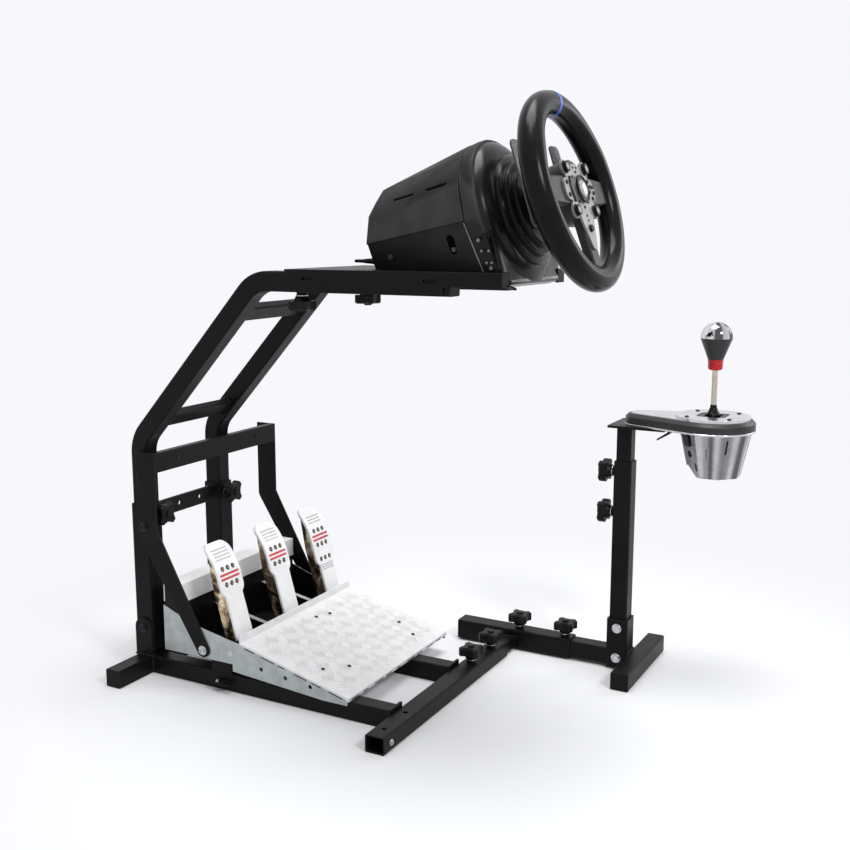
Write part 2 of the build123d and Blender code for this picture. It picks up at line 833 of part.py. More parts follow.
def make_spokes():
    """Hub box with two broad side spokes and a narrow lower one, cut round at the grip."""
    outline = Sketch() + Circle(hub_diameter / 2)
    for angle in (0, 180):
        outline += spoke_outline(spoke_root_width, spoke_width, angle)
    outline += spoke_outline(lower_spoke_root_width, lower_spoke_width, 270)
    plate = extrude(wheel_plane * outline, spoke_thickness / 2, both=True)
    front_face = plate.faces().sort_by(Axis(wheel_plane.origin, axis_out))[-1]
    plate = chamfer(front_face.edges(), spoke_edge)
    box = extrude(wheel_plane.offset(-spoke_thickness / 2) * Circle(hub_diameter / 2), -hub_depth)
    eye = (wheel_diameter / 2 - grip_diameter) - fit_gap
    inside_grip = extrude(wheel_plane * Circle(eye), spoke_thickness, both=True)
    return (plate & inside_grip) + box


def button_places():
    """Where the corner buttons of the hub sit, two on each side."""
    ring = hub_button_ring / 2
    angles = [180 * side + hand * hub_button_angle for side in (0, 1) for hand in (-1, 1)]
    return [(ring * cos(radians(angle)), ring * sin(radians(angle))) for angle in angles]


def make_hub_plate():
    """Face plate of the hub with its lower tongue, button ears and centre cap."""
    core = Circle(hub_plate_diameter / 2)
    tongue = Pos(0, -hub_tongue_reach) * Circle(hub_tongue_diameter / 2)
    outline = make_hull((core + tongue).edges())
    for place in button_places():
        outline += make_hull((Pos(*place) * Circle(hub_ear_diameter / 2) + Circle(hub_ear_diameter)).edges())
    face = wheel_plane.offset(spoke_thickness / 2)
    front = face.offset(hub_plate_thickness)
    plate = extrude(face * outline, hub_plate_thickness)
    cap = extrude(front * Circle(hub_cap_diameter / 2), hub_cap_height)
    plate += chamfer(cap.faces().sort_by(Axis(face.origin, axis_out))[-1].edges(), spoke_edge)
    for place in button_places():
        plate += extrude(front * Pos(*place) * Circle(hub_button_diameter / 2), hub_button_height)
    return plate


def make_rim():
    """Round grip of the wheel."""
    return wheel_plane * Torus((wheel_diameter - grip_diameter) / 2, grip_diameter / 2)


def make_pedal_tray():
    """Sheet tray of the pedal set: two side plates, a floor and the dividers."""
    outline = Polyline(
        (pedal_rear_y, pedal_rear_height),
        (pedal_notch_y, pedal_notch_height),
        (heel_rear_y, heel_rear_height),
        (pedal_front_y, pedal_front_height),
        (pedal_front_y, pedal_skirt_height),
        (pedal_skirt_y, pedal_skirt_height),
        (pedal_step_y, pedal_step_height),
        (pedal_step_y, pedal_floor_height),
        (pedal_rear_y, pedal_floor_height),
        close=True,
    )
    plate_face = make_face(outline)
    tray = block(
        pedal_set_left, pedal_set_right, pedal_step_y, pedal_rear_y,
        pedal_floor_height, pedal_floor_height + pedal_sheet,
    )
    for x in (pedal_set_left, pedal_set_right - pedal_sheet):
        tray += extrude(Plane(origin=(x, 0, 0), x_dir=along_y, z_dir=along_x) * plate_face, pedal_sheet)
    rib = Polyline(
        (cover_front_y, divider_rear_height),
        (heel_rear_y + heel_thickness, heel_rear_height),
        (heel_rear_y + heel_thickness, pedal_floor_height),
        (cover_front_y, pedal_floor_height),
        close=True,
    )
    slope = Vector(0, heel_rear_y - cover_front_y, heel_rear_height - divider_rear_height)
    for hand in (-1, 1):
        x = pedal_middle_x + hand * pedal_spacing / 2
        rib_plane = Plane(origin=(x - divider_thickness / 2, 0, 0), x_dir=along_y, z_dir=along_x)
        tray += extrude(rib_plane * make_face(rib), divider_thickness)
        flange_plane = Plane(
            origin=(x, cover_front_y, divider_rear_height - divider_thickness / 2),
            x_dir=along_x,
            z_dir=slope.normalized(),
        )
        flange_length = slope.length - heel_thickness
        tray += extrude(flange_plane * Rectangle(divider_flange, divider_thickness), flange_length)
    tray -= make_rear_cover()
    for index in range(plate_holes):
        hole_y = heel_rear_y - plate_hole_setback - index * plate_hole_pitch
        slope_fall = (heel_rear_height - pedal_front_height) * (heel_rear_y - hole_y) / heel_length
        hole_z = heel_rear_height - slope_fall - plate_hole_drop * (hole_y - pedal_front_y) / heel_length
        hole_start = (pedal_set_left - cut_over, hole_y, hole_z)
        tray -= rod(hole_start, along_x, plate_hole_diameter, pedal_set_width + 2 * cut_over)
    bore_start = (pedal_set_left - pedal_sheet, pedal_pivot_y, pedal_pivot_height)
    return tray - rod(bore_start, along_x, pedal_shaft_diameter, pedal_set_width + 2 * pedal_sheet)


def make_rear_cover():
    """Closed sensor housing across the back of the pedal set."""
    return block(
        pedal_set_left + pedal_sheet,
        pedal_set_right - pedal_sheet,
        cover_front_y,
        pedal_rear_y - pedal_sheet,
        pedal_floor_height + pedal_sheet,
        cover_height,
    )


def make_cover_hood():
    """Folded sheet hood over the top of the sensor housing, open at its ends."""
    front = cover_front_y - fit_gap
    rear = pedal_rear_y - pedal_sheet + fit_gap
    left = pedal_set_left + pedal_sheet
    right = pedal_set_right - pedal_sheet
    outer = block(left, right, front - hood_sheet, rear + hood_sheet, hood_low, cover_height + hood_sheet)
    return outer - block(left - cut_over, right + cut_over, front, rear, hood_low - cut_over, cover_height)


def make_heel_plate():
    """Sloping foot plate with a raised lip at its rear edge and a folded front edge."""
    outline = Polyline(
        (heel_rear_y, heel_rear_height),
        (heel_rear_y, heel_rear_height + heel_lip_height),
        (heel_rear_y - heel_thickness, heel_rear_height + heel_lip_height),
        (heel_rear_y - heel_thickness, heel_rear_height + heel_thickness),
        (pedal_front_y - heel_thickness, pedal_front_height + heel_thickness),
        (pedal_front_y - heel_thickness, tube_side),
        (pedal_front_y, tube_side),
        (pedal_front_y, pedal_front_height),
        close=True,
    )
    start = Plane(origin=(pedal_set_left, 0, 0), x_dir=along_y, z_dir=along_x)
    return extrude(start * make_face(outline), pedal_set_width)


def make_pedal_shaft():
    """Shaft through the side plates that carries all three pedals."""
    start = (pedal_set_left, pedal_pivot_y, pedal_pivot_height)
    return rod(start, along_x, pedal_shaft_diameter, pedal_set_width)


def pedal_frame(x):
    """Frame at a pedal's pivot: local Z runs up the leaning arm, local Y to the rear."""
    lean = radians(pedal_lean)
    return Plane(
        origin=(x, pedal_pivot_y, pedal_pivot_height), x_dir=along_x, z_dir=(0, sin(lean), cos(lean))
    )


def pedal_line(depth):
    """Line up a pedal at a depth behind its face: straight, then an arc that leans back."""
    y = depth - pedal_face_offset
    arc = JernArc((y, pedal_bend_start), (0, 1), pedal_bend_radius - depth, -pedal_bend)
    return Line((y, pedal_stem_start), (y, pedal_bend_start)), arc


def make_pedal_arm(x):
    """Channel-shaped arm, open at the rear and tapered to the tip of the face, with its pivot boss."""
    front_line, front_arc = pedal_line(pedal_face_thickness)
    low = front_line @ 0
    rear_y = pedal_face_thickness - pedal_face_offset + pedal_arm_depth
    outline = Curve() + front_line + front_arc
    outline += Line(front_arc @ 1, (rear_y, pedal_arm_taper))
    outline += Line((rear_y, pedal_arm_taper), (rear_y, low.Y))
    outline += Line((rear_y, low.Y), (low.X, low.Y))
    side_face = Plane.YZ * make_face(outline)
    foot = block(
        -pedal_arm_width / 2, pedal_arm_width / 2, low.X, rear_y, 0, pedal_stem_start
    )
    body = extrude(side_face, pedal_arm_width / 2, both=True)
    inside = extrude(side_face, pedal_arm_width / 2 - pedal_arm_wall, both=True)
    body -= Pos(0, pedal_arm_wall, 0) * inside
    across = Rot(0, 90, 0)
    boss = across * Cylinder(pedal_boss_diameter / 2, pedal_arm_width)
    bore = across * Cylinder(pedal_shaft_diameter / 2 + pin_clearance, 2 * pedal_arm_width)
    return pedal_frame(x) * (body + foot + boss - bore)


def make_pedal_face(x, face_start, hole_rows):
    """Foot plate: a narrow stem that widens into the drilled pad, leaning back at its tip."""
    front_line, front_arc = pedal_line(0)
    rear_line, rear_arc = pedal_line(pedal_face_thickness)
    profile = Curve() + front_line + front_arc + rear_line + rear_arc
    profile += Line(front_arc @ 1, rear_arc @ 1)
    profile += Line(front_line @ 0, rear_line @ 0)
    strip = extrude(Plane.YZ * make_face(profile), pedal_face_width, both=True)
    stem_top = face_start + pedal_face_corner
    stem = Pos(0, (pedal_stem_start + stem_top) / 2) * Rectangle(
        pedal_stem_width, stem_top - pedal_stem_start
    )
    pad = Pos(0, (face_start + pedal_reach) / 2) * RectangleRounded(
        pedal_face_width, pedal_reach - face_start, pedal_face_corner
    )
    outline = stem + pad
    for row in range(hole_rows):
        height = pedal_reach - pedal_hole_drop + (1 - row) * pedal_hole_pitch_y
        holes = Pos(0, height) * GridLocations(pedal_hole_pitch_x, 1, pedal_hole_columns, 1)
        outline -= holes * Circle(pedal_hole_diameter / 2)
    return pedal_frame(x) * (strip & extrude(Plane.XZ * outline, pedal_reach, both=True))


def make_pedal_bracket():
    """Inverted U of the pedal set: a top bar and two cranked side arms."""
    left = pedal_set_left - bracket_sheet
    right = pedal_set_right + bracket_sheet
    bar = block(
        left, right, bracket_bar_y, bracket_bar_y + bracket_sheet, bracket_bar_low, bracket_bar_high
    )
    bar += block(
        left, right, bracket_bar_y, bracket_bar_y + bracket_flange_depth,
        bracket_bar_high - bracket_sheet, bracket_bar_high,
    )
    middle_y = bracket_bar_y + bracket_arm_width / 2
    knee = Pos(middle_y, bracket_knee_height) * Circle(bracket_arm_width / 2)
    foot = Pos(bracket_end_y, bracket_end_height) * Circle(bracket_end_diameter / 2)
    strap = make_hull((knee + foot).edges())
    upper = Pos(middle_y, (bracket_knee_height + bracket_bar_high) / 2) * Rectangle(
        bracket_arm_width, bracket_bar_high - bracket_knee_height
    )
    outline = strap + upper
    for x in (left, pedal_set_right):
        bar += extrude(Plane(origin=(x, 0, 0), x_dir=along_y, z_dir=along_x) * outline, bracket_sheet)
    sleeve_face = -rail_outer_width / 2
    spacer_start = (pedal_set_left, bracket_bolt_y, bracket_bolt_height)
    return bar + rod(spacer_start, along_x, bracket_spacer_diameter, sleeve_face - pedal_set_left)


def arm_knob_seats():
    """Top points of the arm sleeve that carry the two clamp knobs."""
    front = arm_sleeve_front + arm_knob_inset
    top = arm_sleeve_low + arm_sleeve_side
    return [(arm_x, y, top) for y in (front + arm_knob_spacing, front)]


def make_cross_slide():
    """Tube that slides in the cross tube, welded to the sleeve of the shifter arm."""
    width = cross_tube_depth - 2 * (tube_wall + slide_clearance)
    height = cross_tube_height - 2 * (tube_wall + slide_clearance)
    face = arm_x - arm_sleeve_side / 2
    start = (slide_tube_left, cross_y, cross_tube_height / 2)
    slide = straight_tube(start, along_x, along_y, width, height, tube_wall, face - slide_tube_left)
    sleeve_start = (arm_x, arm_sleeve_rear, arm_height)
    length = arm_sleeve_rear - arm_sleeve_front
    sleeve = straight_tube(
        sleeve_start, -along_y, along_x, arm_sleeve_side, arm_sleeve_side, arm_sleeve_wall, length
    )
    for seat in arm_knob_seats():
        sleeve = with_boss(sleeve, seat, along_z, arm_sleeve_wall)
    return slide + sleeve


def make_shifter_arm():
    """Tube along Y that ends in the socket of the shifter post."""
    start = (arm_x, arm_tube_rear, arm_height)
    clevis_rear = post_y + clevis_side / 2
    arm = straight_tube(
        start, -along_y, along_x, arm_tube_side, arm_tube_side, tube_wall, arm_tube_rear - clevis_rear
    )
    socket_start = (arm_x, post_y, clevis_low)
    socket = straight_tube(
        socket_start, along_z, along_x, clevis_side, clevis_side, clevis_wall, clevis_top - clevis_low
    )
    arm += end_plug(start, -along_y, along_x, arm_tube_side, arm_tube_side, tube_wall)
    return arm + socket


def make_right_foot():
    """Foot tube under the shifter post with both ends plugged."""
    low = arm_x - right_foot_length / 2
    start = (low, right_foot_y, tube_side / 2)
    foot = straight_tube(start, along_x, along_y, tube_side, tube_side, tube_wall, right_foot_length)
    foot += end_plug(start, along_x, along_y, tube_side, tube_side, tube_wall)
    last = (low + right_foot_length, right_foot_y, tube_side / 2)
    return foot + end_plug(last, -along_x, along_y, tube_side, tube_side, tube_wall)


def post_knob_seats():
    """Points on the rear of the post sleeve that carry the two clamp knobs."""
    high = post_sleeve_top - post_knob_drop
    return [(arm_x, post_y + post_sleeve_side / 2, z) for z in (high - post_knob_spacing, high)]


def make_post_sleeve():
    """Outer tube of the shifter post."""
    start = (arm_x, post_y, post_sleeve_low)
    length = post_sleeve_top - post_sleeve_low
    sleeve = straight_tube(
        start, along_z, along_x, post_sleeve_side, post_sleeve_side, post_sleeve_wall, length
    )
    for seat in post_knob_seats():
        sleeve = with_boss(sleeve, seat, along_y, post_sleeve_wall)
    return sleeve


def make_shifter_post():
    """Inner tube of the post with the plate that carries the shifter and the hook under it."""
    start = (arm_x, post_y, post_tube_low)
    length = post_plate_height - post_tube_low
    post = straight_tube(
        start, along_z, along_x, post_tube_side, post_tube_side, tube_wall, length
    )
    half = post_plate_width / 2
    plate = block(
        shifter_x - half, shifter_x + half, post_plate_front, post_plate_rear, post_plate_height, deck_low
    )
    knee = post_plate_height - hook_drop
    hook = Polyline(
        (post_plate_front, post_plate_height),
        (post_plate_front, knee),
        (post_plate_front + hook_reach, knee - hook_fall),
        (post_plate_front + hook_reach, knee - hook_fall + hook_thickness),
        (post_plate_front + hook_thickness, knee + hook_thickness),
        (post_plate_front + hook_thickness, post_plate_height),
        close=True,
    )
    hook_plane = Plane(origin=(shifter_x, 0, 0), x_dir=along_y, z_dir=along_x)
    return post + plate + extrude(hook_plane * make_face(hook), hook_width / 2, both=True)


def egg(inset):
    """Outline of the shifter from above, narrow over the post and round over the lever."""
    tail = Pos(shifter_x, deck_tail_y) * Circle(deck_tail_diameter / 2 - inset)
    head = Pos(shifter_x, shifter_y) * Circle(deck_diameter / 2 - inset)
    return make_hull((tail + head).edges())


def make_shifter_deck():
    """Egg-shaped top of the shifter, clamped on the plate by its narrow end."""
    deck = extrude(Plane.XY.offset(deck_low) * egg(0), deck_thickness)
    deck = chamfer(deck.faces().sort_by(Axis.Z)[-1].edges(), deck_bevel)
    bore = Pos(shifter_x, shifter_y, deck_low) * extrude(Circle(deck_bore / 2), deck_thickness)
    return deck - bore


def make_gate():
    """Thin trim over the deck with the round gate plate and the window that the lever moves in."""
    trim = extrude(Plane.XY.offset(gate_low) * egg(trim_inset), trim_thickness)
    centre = Pos(shifter_x, shifter_y, gate_low)
    plate = centre * extrude(Circle(gate_diameter / 2), gate_thickness)
    window = RectangleRounded(gate_window, gate_window, gate_window_corner)
    return trim + plate - centre * extrude(window, gate_thickness)


def cornered(width, length, corner):
    """Rectangle with its corners cut off."""
    return chamfer(Rectangle(width, length).vertices(), corner)


def make_housing():
    """Faceted housing that tapers down under the deck, hollow round the lever's pivot."""
    top = Plane(origin=(shifter_x, shifter_y - housing_forward, deck_low))
    low = top.offset(-housing_depth)
    body = loft(
        [
            low * cornered(housing_bottom_width, housing_bottom_length, housing_bottom_corner),
            top * cornered(housing_top_width, housing_top_length, housing_top_corner),
        ],
        ruled=True,
    )
    heel_edge = low * Pos(0, housing_bottom_length / 2, 0)
    body -= heel_edge * Rot(45, 0, 0) * Box(housing_top_width, housing_heel, housing_heel)
    mean_width = (housing_top_width + housing_bottom_width) / 2
    mean_length = (housing_top_length + housing_bottom_length) / 2
    mean_corner = (housing_top_corner + housing_bottom_corner) / 2
    outward = Vector(-1, 1, 0).normalized()
    centre = Vector(shifter_x, shifter_y - housing_forward, deck_low - housing_depth / 2)
    corner_reach = (mean_width / 2 + mean_length / 2 - mean_corner) * outward.Y
    port_floor = centre + outward * (corner_reach - port_depth)
    body -= rod(port_floor, outward, port_diameter, cut_over + port_depth)
    side_seat = centre - along_x * (mean_width / 2 - window_depth)
    side_plane = Plane(origin=side_seat, x_dir=along_z, z_dir=-along_x)
    body -= extrude(side_plane * SlotOverall(window_length, window_width), cut_over + window_depth)
    cavity_face = top * Pos(0, housing_forward) * Rectangle(cavity_width, cavity_length)
    cavity = extrude(cavity_face, -cavity_depth)
    pin_reach = cavity_length / 2 + gimbal_pin_engagement
    pin_start = (shifter_x, shifter_y - pin_reach, lever_pivot_height - gimbal_drop)
    pin_space = rod(pin_start, along_y, gimbal_pin_diameter + 2 * pin_clearance, 2 * pin_reach)
    return body - cavity - pin_space


def make_gimbal():
    """Forked block that lets the lever tip sideways on a pin along Y."""
    low = lever_pivot_height - gimbal_drop - gimbal_pin_diameter
    high = lever_pivot_height + gimbal_pin_diameter
    fork = block(
        shifter_x - gimbal_width / 2, shifter_x + gimbal_width / 2, shifter_y - gimbal_length / 2,
        shifter_y + gimbal_length / 2, low, high,
    )
    slot = block(
        shifter_x - gimbal_slot / 2, shifter_x + gimbal_slot / 2, shifter_y - gimbal_length,
        shifter_y + gimbal_length, lever_pivot_height - lever_end - fit_gap, high + lever_end,
    )
    bore = rod(
        (shifter_x - gimbal_width, shifter_y, lever_pivot_height), along_x,
        gimbal_pin_diameter + 2 * pin_clearance, 2 * gimbal_width,
    )
    reach = cavity_length / 2 + gimbal_pin_engagement - fit_gap
    pin = rod(
        (shifter_x, shifter_y - reach, lever_pivot_height - gimbal_drop),
        along_y,
        gimbal_pin_diameter,
        2 * reach,
    )
    return fork - slot - bore + pin


def make_lever():
    """Gear lever with its cross pin, its boot above the gate and the red collar under the knob."""
    foot = (shifter_x, shifter_y, lever_pivot_height)
    shaft = rod(foot, along_z, lever_diameter, collar_low - lever_pivot_height)
    eye = Pos(*foot) * Rot(0, 90, 0) * Cylinder(lever_end - fit_gap, gimbal_slot - 2 * fit_gap)
    pin = Pos(*foot) * Rot(0, 90, 0) * Cylinder(gimbal_pin_diameter / 2, gimbal_width)
    collar = rod((shifter_x, shifter_y, collar_low), along_z, collar_diameter, collar_height)
    boot_plane = Plane(origin=(shifter_x, shifter_y, gate_low + gate_thickness + boot_gap))
    boot = loft([boot_plane * Circle(boot_diameter / 2), boot_plane.offset(boot_height) * Circle(lever_end)])
    return shaft + eye + pin + collar + boot


def make_lever_knob():
    """Ball knob turned with a conical neck."""
    low = collar_low + collar_height
    radius = lever_knob_diameter / 2
    waist = lever_top - radius
    profile = make_face(
        Polyline((0, waist), (0, low), (lever_knob_neck / 2, low), (radius, waist), (0, waist))
    )
    dome_end = JernArc((radius, waist), (0, 1), radius, 90)
    dome = make_face(Curve() + dome_end + Line(dome_end @ 1, (0, waist)) + Line((0, waist), (radius, waist)))
    turned = revolve(Plane.XZ * (profile + dome), Axis.Z)
    return Pos(shifter_x, shifter_y, 0) * turned


def build():
    """All pieces by node name."""
    nodes = {
        "rear_foot": make_rear_foot(),
        "cross_tube": make_cross_tube(),
        "brace_plate": make_brace(),
        "lower_rung": make_rung(first_bend_height + lower_rung_rise),
        "upper_rung": make_rung(top_tube_height - upper_rung_drop),
        "wheel_tray": make_wheel_tray(),
        "wheel_base": make_wheel_base(),
        "base_collar": make_collar(),
        "base_bezel": make_bezel(),
        "lead_plug": make_lead_plug(),
        "steering_column": make_column(),
        "wheel_spokes": make_spokes(),
        "hub_plate": make_hub_plate(),
        "wheel_rim": make_rim(),
        "pedal_tray": make_pedal_tray(),
        "pedal_rear_cover": make_rear_cover(),
        "pedal_cover_hood": make_cover_hood(),
        "heel_plate": make_heel_plate(),
        "pedal_shaft": make_pedal_shaft(),
        "pedal_bracket": make_pedal_bracket(),
        "cross_slide": make_cross_slide(),
        "shifter_arm": make_shifter_arm(),
        "shifter_foot": make_right_foot(),
        "post_sleeve": make_post_sleeve(),
        "shifter_post": make_shifter_post(),
        "shifter_deck": make_shifter_deck(),
        "shifter_gate": make_gate(),
        "shifter_housing": make_housing(),
        "lever_gimbal": make_gimbal(),
        "gear_lever": make_lever(),
        "lever_knob": make_lever_knob(),
    }
    for name, side in (("left", -1), ("right", 1)):
        nodes[f"{name}_rail"] = make_rail(side)
        nodes[f"{name}_upright_bracket"] = make_upright_bracket(side)
        nodes[f"{name}_upright_sleeve"] = make_upright_sleeve(side)
        nodes[f"{name}_upright_knob"] = star_knob(upright_knob_seat(side), -along_y, sleeve_wall)
        nodes[f"{name}_bent_tube"] = make_bent_tube(side)
        nodes[f"{name}_tray_knob"] = star_knob(tray_knob_seat(side), -along_z, tube_wall)
        nodes[f"{name}_paddle"] = make_paddle(side)
    for name, seat in zip(("inner", "outer"), cross_knob_seats()):
        nodes[f"{name}_cross_knob"] = star_knob(seat, along_z, tube_wall)
    for name, seat in zip(("rear", "front"), arm_knob_seats()):
        nodes[f"{name}_arm_knob"] = star_knob(seat, along_z, arm_sleeve_wall)
    for name, seat in zip(("lower", "upper"), post_knob_seats()):
        nodes[f"{name}_post_knob"] = star_knob(seat, along_y, post_sleeve_wall)
    pads = {
        "clutch": (-1, pedal_face_start, 2),
        "brake": (0, pedal_face_start, 2),
        "throttle": (1, throttle_face_start, 3),
    }
    for name, (place, face_start, hole_rows) in pads.items():
        x = pedal_middle_x + place * pedal_spacing
        nodes[f"{name}_pedal_arm"] = make_pedal_arm(x)
        nodes[f"{name}_pedal_face"] = make_pedal_face(x, face_start, hole_rows)
    return nodes


os.makedirs("parts", exist_ok=True)
for node_name, shape in build().items():
    export_step(shape, f"parts/{node_name}.step")
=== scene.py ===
"""Paint, fittings and stage for the racing wheel stand, laid out as an add-on and run as a script."""
import math

import bmesh
import bpy
from bpy.props import FloatProperty, FloatVectorProperty, PointerProperty
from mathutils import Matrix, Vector
from mathutils.bvhtree import BVHTree
from mathutils.geometry import convex_hull_2d


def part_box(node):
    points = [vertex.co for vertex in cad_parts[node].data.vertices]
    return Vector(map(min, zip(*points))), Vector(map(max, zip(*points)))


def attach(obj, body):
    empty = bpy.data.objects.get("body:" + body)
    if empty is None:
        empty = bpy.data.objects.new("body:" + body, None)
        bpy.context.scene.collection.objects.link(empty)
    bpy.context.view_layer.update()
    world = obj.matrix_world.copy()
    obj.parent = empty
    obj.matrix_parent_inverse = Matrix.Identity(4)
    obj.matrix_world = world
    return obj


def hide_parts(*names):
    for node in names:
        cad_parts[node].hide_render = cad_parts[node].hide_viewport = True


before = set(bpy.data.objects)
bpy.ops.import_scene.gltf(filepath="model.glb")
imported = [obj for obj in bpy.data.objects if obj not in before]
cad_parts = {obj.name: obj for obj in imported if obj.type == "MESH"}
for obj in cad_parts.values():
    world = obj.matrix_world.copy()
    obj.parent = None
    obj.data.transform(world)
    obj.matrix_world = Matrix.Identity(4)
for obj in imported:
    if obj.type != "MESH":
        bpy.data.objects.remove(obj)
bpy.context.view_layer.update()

bl_info = {
    "name": "Racing Wheel Stand",
    "version": (1, 0, 0),
    "blender": (4, 5, 0),
    "location": "View3D > Sidebar > Wheel Stand",
    "description": "Finishes, fittings and stage of a stand with wheel, pedals and shifter",
    "category": "Object",
}

LEFT = Vector((-1.0, 0.0, 0.0))
RIGHT = Vector((1.0, 0.0, 0.0))
AHEAD = Vector((0.0, 1.0, 0.0))
BACK = Vector((0.0, -1.0, 0.0))
UP = Vector((0.0, 0.0, 1.0))
DOWN = Vector((0.0, 0.0, -1.0))
PEDALS = ("clutch", "brake", "throttle")
HANDS = (("left", -1), ("right", 1))

# Body that a piece rides on, and the slot of its finish
ON_BASE = ("base", "dark_metal")
ON_CASING = ("wheel_unit", "black_plastic")
ON_WHEEL = ("steering_wheel", "black_plastic")
ON_HEAD = ("shifter_head", "black_plastic")
ON_LEVER = ("gear_lever", "polished_metal")


def colour(name, text, default):
    """Colour setting of a finish."""
    return FloatVectorProperty(name=name, description=text, subtype="COLOR", size=3,
                               min=0.0, max=1.0, default=default)


def size(name, text, default):
    """Length setting in metres."""
    return FloatProperty(name=name, description=text, subtype="DISTANCE", unit="LENGTH",
                         min=0.0, precision=4, default=default)


class StandFrameSettings(bpy.types.PropertyGroup):
    paint: colour("Paint", "Powder coat of the tubes", (0.0042, 0.0042, 0.0045))
    # The paler edge tone is thinned powder coat and also a painted highlight along the edges
    paint_worn: colour("Paint on edges", "Powder coat where it thins on the edges", (0.03, 0.03, 0.032))
    knob: colour("Knob", "Moulded star knobs", (0.006, 0.006, 0.0065))
    bolt: colour("Bright bolt", "Zinc plated bolts", (0.66, 0.67, 0.69))
    bolt_radius: size("Bolt radius", "Radius of the large washers", 0.0078)
    bead: size("Weld bead", "Radius of a weld bead", 0.0021)
    bead_step: size("Weld step", "Distance between ripples of a weld", 0.0019)


class StandWheelSettings(bpy.types.PropertyGroup):
    grip: colour("Grip", "Cover of the rim", (0.0042, 0.0042, 0.0045))
    mark: colour("Mark", "Top centre mark of the rim", (0.045, 0.11, 0.52))
    mark_width: size("Mark width", "Width of the mark along the rim", 0.0085)
    casing: colour("Casing", "Moulded casing of the wheel base", (0.042, 0.042, 0.0425))
    shell: colour("Shell", "Smooth collar and rings", (0.0065, 0.0065, 0.007))
    hub: colour("Hub", "Plate behind the buttons", (0.24, 0.24, 0.243))
    band_half_width: size("Band half width", "Half width of the casing's front band", 0.112)
    band_rise: size("Band height", "Height of the casing's front band over the axis", 0.108)
    thumb_swell: size("Thumb swell", "Extra grip radius beside the spokes", 0.0012)


class StandPedalSettings(bpy.types.PropertyGroup):
    face: colour("Face", "Painted pedal faces", (0.87, 0.87, 0.88))
    stripe: colour("Stripe", "Two lines between the holes", (0.62, 0.035, 0.05))
    arm: colour("Arm", "Polished pedal arms", (0.50, 0.37, 0.22))
    zinc: colour("Zinc sheet", "Plated side sheets", (0.47, 0.51, 0.505))
    stripe_width: size("Stripe width", "Width of a painted line", 0.0034)
    bar_length: size("Bar length", "Length of a tread bar", 0.021)
    bar_width: size("Bar width", "Width of a tread bar", 0.0022)
    bar_height: size("Bar height", "Height of a tread bar", 0.0007)
    bar_step: size("Bar step", "Distance between the bars of a group", 0.0042)
    group_pitch: size("Group pitch", "Distance between groups of bars", 0.0245)


class StandShifterSettings(bpy.types.PropertyGroup):
    shell: colour("Shell", "Cast shifter housing", (0.56, 0.56, 0.57))
    collar: colour("Collar", "Lift collar under the knob", (0.52, 0.004, 0.004))
    rod_radius: size("Rod radius", "Radius of the lever's rod", 0.0045)


class StandStageSettings(bpy.types.PropertyGroup):
    eye: FloatVectorProperty(name="Camera", description="Place of the camera", subtype="TRANSLATION",
                             unit="LENGTH", size=3, default=(-1.4296, -1.2423, 0.7260))
    look: FloatVectorProperty(name="Look", description="Direction that the camera looks in",
                              subtype="DIRECTION", size=3, default=(0.867, 0.467, -0.172))
    lens: FloatProperty(name="Lens", description="Focal length on a 36 mm frame", unit="CAMERA",
                        min=1.0, default=46.59)
    floor: colour("Floor", "Pale studio floor", (0.83, 0.835, 0.85))
    white: colour("Backdrop", "White behind the stand", (0.935, 0.94, 0.97))
    key: FloatProperty(name="Key light", description="Power of the large lamp", unit="POWER",
                       min=0.0, default=36.0)


def mm(*place):
    """Point given in millimetres, as a vector in metres."""
    return Vector(place) / 1000.0


WHEEL_TILT = math.radians(18.0)
WHEEL_OUT = Vector((0.0, -math.cos(WHEEL_TILT), math.sin(WHEEL_TILT)))
WHEEL_RISE = Vector((0.0, math.sin(WHEEL_TILT), math.cos(WHEEL_TILT)))
WHEEL_FOOT = mm(0.0, -613.0, 752.0)


def wheel_point(across, rise, out):
    """Point given in millimetres across the wheel, up in its plane and out along the steering axis."""
    return WHEEL_FOOT + (RIGHT * across + WHEEL_RISE * rise + WHEEL_OUT * out) / 1000.0


SHIFTER_X, SHIFTER_Y = 304.0, -828.0
LEVER_PIVOT = 398.0
KNOB_PARTING = 0.5635
WELD_SEED = 7


def shifter_point(x, y, z):
    """Point given in millimetres beside the lever's axis and over the floor."""
    return mm(SHIFTER_X + x, SHIFTER_Y + y, z)


def add(tree, kind, values=None, **settings):
    """One node of a tree with its settings, its input values and its links."""
    made = tree.nodes.new(kind)
    for key, value in settings.items():
        setattr(made, key, value)
    for key, value in (values or {}).items():
        if isinstance(value, bpy.types.NodeSocket):
            tree.links.new(value, made.inputs[key])
        else:
            made.inputs[key].default_value = value
    return made


def blend_tones(tree, share, first, second):
    """Mix of two tones, each a colour or a socket."""
    mix = add(tree, "ShaderNodeMix", {"Factor": share}, data_type="RGBA")
    for index, tone in ((6, first), (7, second)):
        if isinstance(tone, bpy.types.NodeSocket):
            tree.links.new(tone, mix.inputs[index])
        else:
            mix.inputs[index].default_value = (*tone, 1.0)
    return mix.outputs[2]


def rescale(tree, value, low, high, out_low, out_high):
    """Value stretched from one range to another and held there."""
    step = add(tree, "ShaderNodeMapRange", {"Value": value, "From Min": low, "From Max": high,
                                            "To Min": out_low, "To Max": out_high})
    return step.outputs["Result"]


def maths(tree, operation, *values, kind="ShaderNodeMath"):
    """First result of a sum on numbers, vectors or sockets."""
    return add(tree, kind, dict(enumerate(values)), operation=operation).outputs[0]


